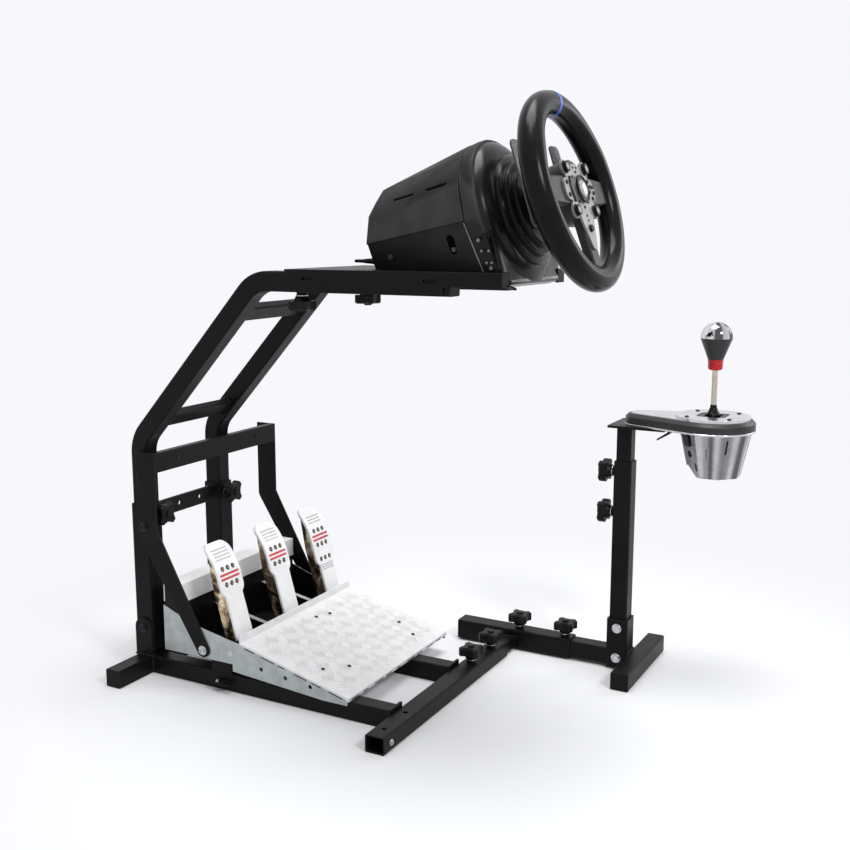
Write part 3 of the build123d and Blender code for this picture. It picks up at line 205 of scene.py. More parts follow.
def ramp_of(tree, value, *stops):
    """Colour ramp through stops of position and tone, of which the first two are its ends."""
    ramp = add(tree, "ShaderNodeValToRGB", {"Fac": value})
    marks = ramp.color_ramp.elements
    for mark, (position, tone) in zip(marks, stops):
        mark.position, mark.color = position, (*tone, 1.0)
    for position, tone in stops[2:]:
        marks.new(position).color = (*tone, 1.0)
    return ramp.outputs["Color"]


def tone_of(made):
    """Tree of a finish, the socket that takes its tone, and the tone that it has so far."""
    taken = made.node_tree.nodes["Principled BSDF"].inputs["Base Color"]
    return made.node_tree, taken, taken.links[0].from_socket


def finish(name, base, second, blotch, gloss, grain, depth, metallic=0.0, edge=0.0008, worn=None,
           stretch=(1.0, 1.0, 1.0), coat=0.0, shine=0.5):
    """Two tones in soft blotches, an uneven gloss, a fine grain, and rounded edges in a paler tone, as
    thinned paint and as a painted highlight.
    """
    made = bpy.data.materials.new(name)
    made.use_nodes = True
    tree = made.node_tree
    shader = tree.nodes["Principled BSDF"]
    shader.inputs["Metallic"].default_value = metallic
    shader.inputs["Coat Weight"].default_value = coat
    shader.inputs["Specular IOR Level"].default_value = shine
    place = add(tree, "ShaderNodeTexCoord").outputs["Object"]
    place = add(tree, "ShaderNodeMapping", {"Vector": place, "Scale": stretch}).outputs["Vector"]
    cloud = add(tree, "ShaderNodeTexNoise", {"Vector": place, "Scale": blotch, "Detail": 4.0}).outputs["Fac"]
    speck = add(tree, "ShaderNodeTexNoise", {"Vector": place, "Scale": grain, "Detail": 2.0}).outputs["Fac"]
    tone = blend_tones(tree, rescale(tree, cloud, 0.35, 0.65, 0.0, 1.0), base, second)
    tree.links.new(rescale(tree, cloud, 0.3, 0.7, *gloss), shader.inputs["Roughness"])
    soft = add(tree, "ShaderNodeBevel", {"Radius": edge}, samples=4).outputs["Normal"]
    bump = add(tree, "ShaderNodeBump", {"Height": speck, "Distance": depth, "Strength": 0.6, "Normal": soft})
    tree.links.new(bump.outputs["Normal"], shader.inputs["Normal"])
    # Paler tone where the bevelled normal leaves the flat one: wear on the edges, and also a painted
    # highlight along them
    if worn:
        flat = add(tree, "ShaderNodeNewGeometry").outputs["Normal"]
        match = add(tree, "ShaderNodeVectorMath", {0: flat, 1: soft}, operation="DOT_PRODUCT")
        tone = blend_tones(tree, rescale(tree, match.outputs["Value"], 0.995, 0.86, 0.0, 0.8), tone, worn)
    tree.links.new(tone, shader.inputs["Base Color"])
    return made


def shaded(tone, share):
    """The same tone with a share of its light."""
    return tuple(min(1.0, part * share) for part in tone)


# Base tone or its setting, second tone or share of the base, blotches, gloss, grain, its depth, the rest
FINISHES = {
    "powder_coat": ("frame.paint", 1.6, 26.0, (0.34, 0.44), 750.0, 0.00012,
                    {"edge": 0.0018, "worn": "frame.paint_worn", "shine": 0.11}),
    "knob_plastic": ("frame.knob", 1.7, 60.0, (0.34, 0.46), 1500.0, 0.0001,
                     {"edge": 0.0012, "shine": 0.12}),
    "bright_bolt": ("frame.bolt", 0.7, 160.0, (0.2, 0.34), 1200.0, 0.00005,
                    {"metallic": 1.0, "edge": 0.0004}),
    "dark_bolt": ((0.02, 0.02, 0.022), (0.035, 0.035, 0.037), 160.0, (0.3, 0.4), 1200.0, 0.00005,
                  {"metallic": 0.5, "edge": 0.0004, "shine": 0.3}),
    "black_moulding": ((0.006, 0.006, 0.0065), (0.010, 0.010, 0.0105), 120.0, (0.26, 0.38), 1800.0, 0.00006,
                       {"edge": 0.0006, "shine": 0.14}),
    "casing_plastic": ("wheel.casing", 0.75, 30.0, (0.42, 0.54), 1500.0, 0.0003,
                       {"edge": 0.002, "worn": 1.9, "shine": 0.12}),
    "shell_plastic": ("wheel.shell", 1.5, 24.0, (0.2, 0.28), 1200.0, 0.00002,
                      {"edge": 0.0014, "shine": 0.16}),
    "grip_cover": ("wheel.grip", 1.7, 45.0, (0.17, 0.24), 1300.0, 0.00008, {"edge": 0.0005, "shine": 0.10}),
    "mark_blue": ("wheel.mark", 0.8, 60.0, (0.36, 0.44), 1300.0, 0.0001, {"edge": 0.0004}),
    "hub_silver": ("wheel.hub", 0.85, 60.0, (0.34, 0.44), 1500.0, 0.00004,
                   {"metallic": 0.25, "edge": 0.0006}),
    "button_grey": ((0.30, 0.30, 0.31), (0.22, 0.22, 0.23), 120.0, (0.3, 0.4), 1500.0, 0.00004,
                    {"edge": 0.0004}),
    "soft_grey": ((0.085, 0.085, 0.088), (0.06, 0.06, 0.062), 120.0, (0.34, 0.44), 1500.0, 0.00004,
                  {"edge": 0.0006}),
    # Near black for painted shade on the keyhole floors
    "pitch_black": ((0.0012, 0.0012, 0.0012), (0.002, 0.002, 0.002), 60.0, (0.7, 0.8), 1200.0, 0.00004,
                    {"edge": 0.0002, "shine": 0.02}),
    "spoke_cast": ((0.020, 0.020, 0.021), (0.027, 0.027, 0.028), 60.0, (0.36, 0.46), 1200.0, 0.00008,
                   {"edge": 0.0014, "shine": 0.2}),
    "paddle_leaf": ((0.075, 0.075, 0.078), (0.05, 0.05, 0.052), 60.0, (0.3, 0.42), 900.0, 0.00004,
                    {"metallic": 0.6, "edge": 0.0006, "stretch": (1.0, 1.0, 12.0)}),
    "cap_silver": ((0.55, 0.55, 0.56), (0.42, 0.42, 0.43), 90.0, (0.2, 0.3), 1500.0, 0.00002,
                   {"metallic": 1.0, "edge": 0.0004}),
    "arm_bronze": ("pedals.arm", 0.3, 60.0, (0.16, 0.34), 240.0, 0.0004, {"metallic": 0.75}),
    "pedal_white": ("pedals.face", 0.93, 40.0, (0.3, 0.4), 1000.0, 0.00006, {"edge": 0.001}),
    "stripe_red": ("pedals.stripe", 0.85, 60.0, (0.3, 0.4), 1000.0, 0.00005, {"edge": 0.0002}),
    "pedal_sheet": ("pedals.zinc", 0.8, 50.0, (0.3, 0.44), 800.0, 0.00006, {"metallic": 0.45, "worn": 1.5}),
    "hood_white": ((0.96, 0.96, 0.965), (0.93, 0.93, 0.935), 40.0, (0.4, 0.5), 1000.0, 0.00005,
                   {"edge": 0.001}),
    "pin_brass": ((0.42, 0.30, 0.17), (0.30, 0.21, 0.12), 160.0, (0.3, 0.4), 1200.0, 0.00005,
                  {"metallic": 0.6, "edge": 0.0003}),
    # Grey of the ribs is painted shade on the white face
    "rib_grey": ((0.50, 0.50, 0.51), (0.42, 0.42, 0.43), 60.0, (0.36, 0.46), 1000.0, 0.00005,
                 {"edge": 0.0003}),
    "tread_sheet": ((0.80, 0.80, 0.805), (0.73, 0.73, 0.74), 50.0, (0.36, 0.48), 900.0, 0.00006,
                    {"metallic": 0.12}),
    # Tread bars darker than the plate, as painted shade along the raised bars
    "tread_bar": ((0.56, 0.56, 0.565), (0.66, 0.66, 0.665), 90.0, (0.3, 0.42), 900.0, 0.00005,
                  {"metallic": 0.3, "edge": 0.0004}),
    "shell_cast": ("shifter.shell", 0.85, 60.0, (0.2, 0.3), 900.0, 0.00006,
                   {"metallic": 1.0, "edge": 0.0016}),
    "collar_red": ("shifter.collar", 0.75, 80.0, (0.2, 0.3), 1200.0, 0.00004,
                   {"edge": 0.0006, "coat": 0.2, "shine": 0.3}),
    "deck_moulding": ((0.028, 0.028, 0.029), (0.021, 0.021, 0.022), 60.0, (0.34, 0.46), 1500.0, 0.0001,
                      {"edge": 0.0014, "shine": 0.3}),
    "gate_steel": ((0.66, 0.66, 0.67), (0.56, 0.56, 0.57), 90.0, (0.18, 0.28), 1200.0, 0.00003,
                   {"metallic": 1.0, "edge": 0.0006}),
    "lever_rod": ((0.60, 0.54, 0.46), (0.50, 0.45, 0.38), 90.0, (0.14, 0.22), 1200.0, 0.00003,
                  {"metallic": 1.0, "edge": 0.0006}),
    "knob_two_tone": ((0.74, 0.74, 0.75), (0.70, 0.70, 0.71), 60.0, (0.05, 0.09), 1200.0, 0.00001, {}),
}


def read_tone(value, base=None):
    """Tone of a setting, share of the base tone, or the tone itself."""
    if isinstance(value, str):
        group, field = value.split(".")
        return tuple(getattr(getattr(bpy.context.scene, "stand_" + group), field))
    return shaded(base, value) if isinstance(value, float) else value


def kept(name):
    """Finish of the table, made once, touched up where it needs that, and used wherever it is named."""
    made = bpy.data.materials.get(name)
    if made is None:
        base, second, *body, rest = FINISHES[name]
        base = read_tone(base)
        if "worn" in rest:
            rest = {**rest, "worn": read_tone(rest["worn"], base)}
        made = finish(name, base, read_tone(second, base), *body, **rest)
        if name in TOUCHES:
            TOUCHES[name](made)
    return made


def panel_tones(made):
    """Casing with painted shade by facet: paler on its upright panels, darker on those that face up or down.
    """
    tree, taken, plain = tone_of(made)
    facing = add(tree, "ShaderNodeTexCoord").outputs["Normal"]
    lift = add(tree, "ShaderNodeSeparateXYZ", {0: facing}).outputs["Z"]
    full = (1.0, 1.0, 1.0)
    # Painted shade: upright panels keep the full tone, downward and upward facing ones are darker
    tones = ramp_of(tree, rescale(tree, lift, -1.0, 1.0, 0.0, 1.0), (0.46, (0.56, 0.56, 0.56)),
                    (0.74, (0.24, 0.24, 0.24)), (0.5, full), (0.68, full))
    toned = add(tree, "ShaderNodeMix", {"Factor": 1.0, 6: plain, 7: tones}, data_type="RGBA",
                blend_type="MULTIPLY")
    tree.links.new(toned.outputs[2], taken)


def bronze_clouds(made):
    """Dark and pale clouds on the polished arms, painted in as their reflections."""
    arm = bpy.context.scene.stand_pedals.arm
    tree, taken = tone_of(made)[:2]
    place = add(tree, "ShaderNodeTexCoord").outputs["Object"]
    # Painted reflections: clouds from near black to pale, as a mirror-like arm shows its surroundings
    cloud = add(tree, "ShaderNodeTexNoise", {"Vector": place, "Scale": 44.0, "Detail": 2.5,
                                             "Distortion": 1.2})
    dark, pale = (0.36, (0.02, 0.013, 0.008)), (0.68, (0.86, 0.78, 0.64))
    shares = ((0.44, 0.28), (0.52, 0.75), (0.58, 1.15))
    middle = [(position, shaded(arm, share)) for position, share in shares]
    tones = ramp_of(tree, cloud.outputs["Fac"], dark, pale, *middle)
    tree.links.new(tones, taken)


def dark_inside(made):
    """Zinc plated outer sheets with painted shade inside: near black on all inner faces that don't face up
    and on all low ones, so the flanges on the dividers stay bright.
    """
    tree, taken, plated = tone_of(made)
    low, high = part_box("pedal_tray")
    sheet, floor = 0.0015, 0.055
    coords = add(tree, "ShaderNodeTexCoord").outputs
    spot = add(tree, "ShaderNodeSeparateXYZ", {0: coords["Object"]}).outputs
    past = maths(tree, "GREATER_THAN", spot["X"], low.x + sheet)
    short = maths(tree, "LESS_THAN", spot["X"], high.x - sheet)
    inside = maths(tree, "MULTIPLY", past, short)
    # Painted shade inside the tray: faces that don't face up, and all that lie low, take a near black tone
    lift = add(tree, "ShaderNodeSeparateXYZ", {0: coords["Normal"]}).outputs["Z"]
    lower = maths(tree, "LESS_THAN", lift, 0.3)
    deep = maths(tree, "LESS_THAN", spot["Z"], floor)
    dark = maths(tree, "MAXIMUM", lower, deep)
    painted_shade = maths(tree, "MULTIPLY", inside, dark)
    tree.links.new(blend_tones(tree, painted_shade, plated, (0.012, 0.013, 0.013)), taken)


def streaks(made, middle, scale, dark):
    """Painted reflections: upright dark and bright streaks round a polished form, as mirrored walls and
    lamps give.
    """
    tree, taken, bright = tone_of(made)
    vectors = "ShaderNodeVectorMath"
    place = add(tree, "ShaderNodeTexCoord").outputs["Object"]
    way = maths(tree, "SUBTRACT", place, middle, kind=vectors)
    way = maths(tree, "MULTIPLY", way, (1.0, 1.0, 0.0), kind=vectors)
    way = maths(tree, "NORMALIZE", way, kind=vectors)
    bands = add(tree, "ShaderNodeTexNoise", {"Vector": way, "Scale": scale, "Detail": 1.0})
    share = rescale(tree, bands.outputs["Fac"], 0.44, 0.56, 0.0, 1.0)
    tree.links.new(blend_tones(tree, share, dark, bright), taken)


def housing_streaks(made):
    """Painted reflection streaks round the cast housing."""
    streaks(made, shifter_point(0.0, -2.0, 0.0), 2.0, (0.13, 0.13, 0.135))


def chrome_dome(made):
    """Chrome dome over a black cone, parted at the widest line of the knob, with painted reflection streaks
    on the chrome.
    """
    streaks(made, shifter_point(0.0, 0.0, 0.0), 1.3, (0.10, 0.10, 0.105))
    tree, taken, chrome = tone_of(made)
    shader = taken.node
    gloss = shader.inputs["Roughness"].links[0].from_socket
    place = add(tree, "ShaderNodeTexCoord").outputs["Object"]
    height = add(tree, "ShaderNodeSeparateXYZ", {0: place}).outputs["Z"]
    dome = maths(tree, "GREATER_THAN", height, KNOB_PARTING)
    tree.links.new(blend_tones(tree, dome, (0.008, 0.008, 0.0085), chrome), taken)
    tree.links.new(dome, shader.inputs["Metallic"])
    rough = add(tree, "ShaderNodeMix", {"Factor": dome, 2: 0.42, 3: gloss}, data_type="FLOAT")
    tree.links.new(rough.outputs[0], shader.inputs["Roughness"])


TOUCHES = {"casing_plastic": panel_tones, "arm_bronze": bronze_clouds, "pedal_sheet": dark_inside,
           "shell_cast": housing_streaks, "knob_two_tone": chrome_dome}


def paint(look, *names):
    """Give CAD nodes a finish."""
    for name in names:
        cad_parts[name].material_slots[0].material = kept(look)


def surface_of(name):
    """Ray tree of a CAD node or of a piece."""
    mesh = (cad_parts.get(name) or bpy.data.objects[name]).data
    points = [vert.co for vert in mesh.vertices]
    return BVHTree.FromPolygons(points, [face.vertices for face in mesh.polygons])


def meet(name, start, direction):
    """Point and outward direction where a straight line first meets a node or a piece."""
    hit, normal = surface_of(name).ray_cast(start, direction)[:2]
    if hit is None:
        raise RuntimeError("nothing met on " + name)
    return hit, normal


def ride(made, body):
    """Let a finished piece move with a body."""
    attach(made, body)
    return made


def piece(name, mesh, look, body, slot):
    """Mesh as a finished piece that rides on a body."""
    mesh.name = name
    mesh.materials.clear()
    mesh.materials.append(kept(look))
    made = bpy.data.objects.new(name, mesh)
    bpy.context.collection.objects.link(made)
    return ride(made, body)


def smoothed(mesh, angle=35.0):
    """Mesh with smooth rounds, and edges that stay sharp beyond an angle in degrees."""
    mesh.shade_smooth()
    mesh.set_sharp_from_angle(angle=math.radians(angle))
    return mesh


def solid(verts, faces, angle=35.0):
    """Closed mesh with merged points, faces that point outwards and smooth rounds."""
    mesh = bpy.data.meshes.new("solid")
    mesh.from_pydata(verts, [], faces)
    work = bmesh.new()
    work.from_mesh(mesh)
    bmesh.ops.remove_doubles(work, verts=work.verts, dist=0.000001)
    bmesh.ops.recalc_face_normals(work, faces=work.faces)
    work.to_mesh(mesh)
    work.free()
    return smoothed(mesh, angle)


def strip(first, after, count):
    """Faces between two rows of points."""
    faces = []
    for step in range(count):
        nxt = (step + 1) % count
        faces.append((first * count + step, first * count + nxt, after * count + nxt, after * count + step))
    return faces


def turned(foot, axis, profile, steps=48):
    """Mesh turned about an axis; the profile lists radius and height in millimetres and ends on the axis."""
    side = axis.orthogonal().normalized()
    other = axis.cross(side)
    verts, faces = [], []
    for row, (radius, height) in enumerate(profile):
        for step in range(steps):
            angle = 2 * math.pi * step / steps
            spoke = side * math.cos(angle) + other * math.sin(angle)
            verts.append(foot + (axis * height + spoke * radius) / 1000.0)
        if row:
            faces += strip(row - 1, row, steps)
    return solid(verts, faces)


def skin(rows, closed=False, angle=35.0):
    """Closed mesh over rows of points that all have the same length."""
    count, last = len(rows[0]), len(rows) - 1
    faces = []
    for row in range(last):
        faces += strip(row, row + 1, count)
    if closed:
        faces += strip(last, 0, count)
    else:
        faces += [tuple(range(count)), tuple(range(last * count, (last + 1) * count))]
    return solid([place for row in rows for place in row], faces, angle)


def swept(path, section, closed=False):
    """Section in millimetres carried along a path of points with two directions each."""
    rows = []
    for place, side, rise in path:
        rows.append([place + (side * across + rise * up) / 1000.0 for across, up in section])
    return skin(rows, closed)


def extruded(outline, place, low, high):
    """Flat outline in millimetres raised between two heights; place turns each corner into a point."""
    return skin([[place(x, y, height) for x, y in outline] for height in (low, high)], angle=30.0)


def carved(mesh, angle, *steps):
    """Mesh after solids are joined to it or cut out of it, one after the other."""
    work = bpy.data.objects.new("work", mesh)
    spares = [work]
    for kind, shape in steps:
        tool = bpy.data.objects.new("tool", shape)
        spares.append(tool)
        step = work.modifiers.new(kind, "BOOLEAN")
        step.operation, step.solver, step.object = kind, "EXACT", tool
    for spare in spares:
        bpy.context.collection.objects.link(spare)
    graph = bpy.context.evaluated_depsgraph_get()
    plain = bpy.data.meshes.new_from_object(work.evaluated_get(graph))
    for spare in spares:
        bpy.data.objects.remove(spare)
    return smoothed(plain, angle)


def oblong(left, low, right, high):
    """Corners of an upright rectangle."""
    return [(left, low), (right, low), (right, high), (left, high)]


def block(low, high):
    """Closed box between two corners in millimetres, as a tool for cutting."""
    return skin([[mm(x, y, z) for x, y in oblong(*low[:2], *high[:2])] for z in (low[2], high[2])])


def stadium(length, width, steps=8):
    """Outline of a slot with round ends, in millimetres."""
    outline = []
    for end in (1, -1):
        for step in range(steps + 1):
            turn = math.pi * (step / steps - 0.5)
            outline.append((end * ((length - width) / 2 + width / 2 * math.cos(turn)),
                            end * width / 2 * math.sin(turn)))
    return outline


def upright_slot(length, width):
    """The same outline stood on end."""
    return [(y, x) for x, y in stadium(length, width)]


def seat_on(name, start, direction, outline, low, high):
    """Small plate on a node or piece: the outline lies along the surface, its second measure upwards."""
    spot, normal = meet(name, start, direction)
    side = UP.cross(normal).normalized()
    rise = normal.cross(side)
    return extruded(outline, lambda x, y, height: spot + (side * x + rise * y + normal * height) / 1000.0,
                    low, high)


def round_ring(radius, steps):
    """Circle of points in millimetres."""
    turns = [math.tau * step / steps for step in range(steps)]
    return [(radius * math.cos(turn), radius * math.sin(turn)) for turn in turns]


def point_mesh(places):
    """Loose points that each carry a direction and a size, for the trees to dress."""
    mesh = bpy.data.meshes.new("points")
    mesh.from_pydata([place for place, aim, amount in places], [], [])
    mesh.attributes.new("aim", "FLOAT_VECTOR", "POINT")
    mesh.attributes.new("size", "FLOAT", "POINT")
    for index, (place, aim, amount) in enumerate(places):
        mesh.attributes["aim"].data[index].vector = aim
        mesh.attributes["size"].data[index].value = amount
    return mesh


def grow(name, mesh, tree, values, body):
    """Run a node tree on a mesh, keep the result as a plain mesh and let it ride on a body."""
    made = bpy.data.objects.new(name, mesh)
    bpy.context.collection.objects.link(made)
    step = made.modifiers.new("nodes", "NODES")
    step.node_group = tree
    for item in tree.interface.items_tree:
        if item.in_out == "INPUT" and item.name in values:
            step[item.identifier] = values[item.name]
    graph = bpy.context.evaluated_depsgraph_get()
    plain = bpy.data.meshes.new_from_object(made.evaluated_get(graph))
    made.modifiers.remove(step)
    made.data = plain
    if not plain.polygons:
        raise RuntimeError(name + " came out empty")
    smoothed(plain).name = name
    return ride(made, body)


def tree_with(name, *sockets):
    """Empty geometry tree with named inputs; gives the tree, its inputs and its output."""
    tree = bpy.data.node_groups.new(name, "GeometryNodeTree")
    for label, kind in sockets:
        tree.interface.new_socket(label, in_out="INPUT", socket_type="NodeSocket" + kind)
    tree.interface.new_socket("Geometry", in_out="OUTPUT", socket_type="NodeSocketGeometry")
    given = tree.nodes.new("NodeGroupInput")
    out = tree.nodes.new("NodeGroupOutput")
    return tree, given.outputs, out.inputs["Geometry"]


def close_tree(tree, given, copies, out):
    """Make the copies real, give them their finish and end the tree."""
    real = add(tree, "GeometryNodeRealizeInstances", {"Geometry": copies})
    dressed = add(tree, "GeometryNodeSetMaterial", {"Geometry": real.outputs["Geometry"],
                                                    "Material": given["Finish"]})
    tree.links.new(dressed.outputs["Geometry"], out)
    return tree


def carried(tree, name, kind):
    """Value that the points carry."""
    return add(tree, "GeometryNodeInputNamedAttribute", {"Name": name}, data_type=kind).outputs["Attribute"]


def along_z(tree, amount):
    """Vector of a length straight up."""
    return add(tree, "ShaderNodeCombineXYZ", {"Z": amount}).outputs[0]


def bolt_tree():
    """Washer and recessed head on every point, turned to the point's direction."""
    tree, given, out = tree_with("bolt_tree", ("Places", "Geometry"), ("Sides", "Int"), ("Washer", "Float"),
                                 ("Head", "Float"), ("Height", "Float"), ("Recess", "Float"),
                                 ("Finish", "Material"))
    lift = along_z(tree, maths(tree, "MULTIPLY", given["Washer"], 0.5))
    washer = add(tree, "GeometryNodeMeshCylinder", {"Vertices": 20, "Radius": 1.0, "Depth": given["Washer"]})
    washer = add(tree, "GeometryNodeTransform", {"Geometry": washer.outputs["Mesh"], "Translation": lift})
    head = add(tree, "GeometryNodeMeshCylinder", {"Vertices": given["Sides"], "Radius": given["Head"],
                                                  "Depth": given["Height"]})
    top = head.outputs["Top"]
    rim = add(tree, "GeometryNodeExtrudeMesh", {"Mesh": head.outputs["Mesh"], "Selection": top,
                                                "Offset Scale": 0.0, "Individual": False})
    inset = add(tree, "GeometryNodeScaleElements", {"Geometry": rim.outputs["Mesh"],
                                                    "Selection": rim.outputs["Top"], "Scale": 0.6})
    drop = maths(tree, "MULTIPLY", given["Recess"], -1.0)
    sunk = add(tree, "GeometryNodeExtrudeMesh", {"Mesh": inset.outputs["Geometry"],
                                                 "Selection": rim.outputs["Top"],
                                                 "Offset Scale": drop, "Individual": False})
    lift = along_z(tree, maths(tree, "MULTIPLY_ADD", given["Height"], 0.5, given["Washer"]))
    head = add(tree, "GeometryNodeTransform", {"Geometry": sunk.outputs["Mesh"], "Translation": lift})
    whole = add(tree, "GeometryNodeJoinGeometry")
    tree.links.new(washer.outputs["Geometry"], whole.inputs[0])
    tree.links.new(head.outputs["Geometry"], whole.inputs[0])
    aim, amount = carried(tree, "aim", "FLOAT_VECTOR"), carried(tree, "size", "FLOAT")
    turn = add(tree, "FunctionNodeAlignRotationToVector", {"Vector": aim}, axis="Z").outputs["Rotation"]
    copies = add(tree, "GeometryNodeInstanceOnPoints", {
        "Points": given["Places"], "Rotation": turn, "Instance": whole.outputs["Geometry"], "Scale": amount})
    return close_tree(tree, given, copies.outputs["Instances"], out)


def tree_kept(maker):
    """Tree that is made once and used wherever it is needed."""
    return bpy.data.node_groups.get(maker.__name__) or maker()


def bolts(name, places, look, body, slot, sides=6, washer=0.2, head=0.68, height=0.5, recess=0.25):
    """Bolts at places given as point, direction and washer radius in metres."""
    values = {"Sides": sides, "Washer": washer, "Head": head, "Height": height, "Recess": recess,
              "Finish": kept(look)}
    return grow(name, point_mesh(places), tree_kept(bolt_tree), values, body)


def tread_tree():
    """Groups of raised bars, each group turned across its neighbours."""
    tree, given, out = tree_with("tread_tree", ("Places", "Geometry"), ("Bar Length", "Float"),
                                 ("Bar Width", "Float"), ("Bar Height", "Float"), ("Bar Step", "Float"),
                                 ("Bars", "Int"), ("Slope", "Vector"), ("Finish", "Material"))
    bar = add(tree, "GeometryNodeMeshUVSphere", {"Segments": 8, "Rings": 4, "Radius": 0.5})
    shape = add(tree, "ShaderNodeCombineXYZ", {"X": given["Bar Length"], "Y": given["Bar Width"],
                                               "Z": given["Bar Height"]}).outputs[0]
    bar = add(tree, "GeometryNodeTransform", {"Geometry": bar.outputs["Mesh"], "Scale": shape})
    half = maths(tree, "MULTIPLY_ADD", given["Bars"], -0.5, 0.5)
    step = add(tree, "ShaderNodeCombineXYZ", {"Y": given["Bar Step"]}).outputs[0]
    first = add(tree, "ShaderNodeVectorMath", {0: step, "Scale": half}, operation="SCALE").outputs[0]
    row = add(tree, "GeometryNodeMeshLine", {"Count": given["Bars"], "Start Location": first,
                                             "Offset": step})
    group = add(tree, "GeometryNodeInstanceOnPoints", {"Points": row.outputs["Mesh"],
                                                       "Instance": bar.outputs["Geometry"]})
    spin = along_z(tree, carried(tree, "size", "FLOAT"))
    spin = add(tree, "FunctionNodeEulerToRotation", {0: spin}).outputs[0]
    lean = add(tree, "FunctionNodeEulerToRotation", {0: given["Slope"]}).outputs[0]
    turn = add(tree, "FunctionNodeRotateRotation", {"Rotation": lean, "Rotate By": spin},
               rotation_space="LOCAL").outputs[0]
    copies = add(tree, "GeometryNodeInstanceOnPoints", {
        "Points": given["Places"], "Rotation": turn, "Instance": group.outputs["Instances"]})
    return close_tree(tree, given, copies.outputs["Instances"], out)


def weld_tree():
    """Overlapping ripples along every path, each a little different in size."""
    tree, given, out = tree_with("weld_tree", ("Paths", "Geometry"), ("Bead", "Float"), ("Step", "Float"),
                                 ("Seed", "Int"), ("Finish", "Material"))
    path = add(tree, "GeometryNodeMeshToCurve", {"Mesh": given["Paths"]}).outputs["Curve"]
    dots = add(tree, "GeometryNodeCurveToPoints", {"Curve": path, "Length": given["Step"]}, mode="LENGTH")
    ripple = add(tree, "GeometryNodeMeshIcoSphere", {"Radius": given["Bead"], "Subdivisions": 2})
    vary = add(tree, "FunctionNodeRandomValue", {2: 0.8, 3: 1.12, "Seed": given["Seed"]}, data_type="FLOAT")
    copies = add(tree, "GeometryNodeInstanceOnPoints", {"Points": dots.outputs["Points"],
                                                        "Instance": ripple.outputs["Mesh"],
                                                        "Scale": vary.outputs[1]})
    return close_tree(tree, given, copies.outputs["Instances"], out)


def welds(name, paths, body):
    """Weld beads along paths of points in metres."""
    look = bpy.context.scene.stand_frame
    mesh = bpy.data.meshes.new(name)
    verts, edges = [], []
    for path in paths:
        edges += [(len(verts) + step, len(verts) + step + 1) for step in range(len(path) - 1)]
        verts += path
    mesh.from_pydata(verts, edges, [])
    values = {"Bead": look.bead, "Step": look.bead_step, "Seed": WELD_SEED, "Finish": kept("powder_coat")}
    return grow(name, mesh, tree_kept(weld_tree), values, body)


class STAND_OT_frame(bpy.types.Operator):
    """Powder coat the tubes and finish the knobs"""
    bl_idname = "stand.frame"
    bl_label = "Frame and knobs"

    def execute(self, context):
        paint("powder_coat", "rear_foot", "left_rail", "right_rail", "cross_tube", "brace_plate",
              "lower_rung", "upper_rung", "wheel_tray", "pedal_bracket", "cross_slide", "shifter_arm",
              "shifter_foot", "post_sleeve", "shifter_post")
        paint("knob_plastic", "inner_cross_knob", "outer_cross_knob", "rear_arm_knob", "front_arm_knob",
              "lower_post_knob", "upper_post_knob")
        for side in ("left", "right"):
            paint("powder_coat", side + "_upright_bracket", side + "_upright_sleeve", side + "_bent_tube")
            paint("knob_plastic", side + "_upright_knob", side + "_tray_knob")
        return {"FINISHED"}


# In metres: depth and height of the strap bolts and the hinge, heights of the socket's bolts, washer radius
STRAP_FOOT = (-0.128, 0.063)
STRAP_HEAD = (-0.014, 0.254)
HINGE = (0.0, 0.078)
SOCKET_HEIGHTS = (0.073, 0.021)
RING_RADIUS = 0.0093
# In millimetres: depth of the post's socket, tab of the right rail, near end of the cross tube, bar's screws
SOCKET_Y = -691.8
TAB_X, TAB_Y = 117.0, -156.0
CROSS_X, CROSS_Z = -166.0, 13.5
BAR_SCREWS, BAR_Z = (-59.0, 156.0), 361.0


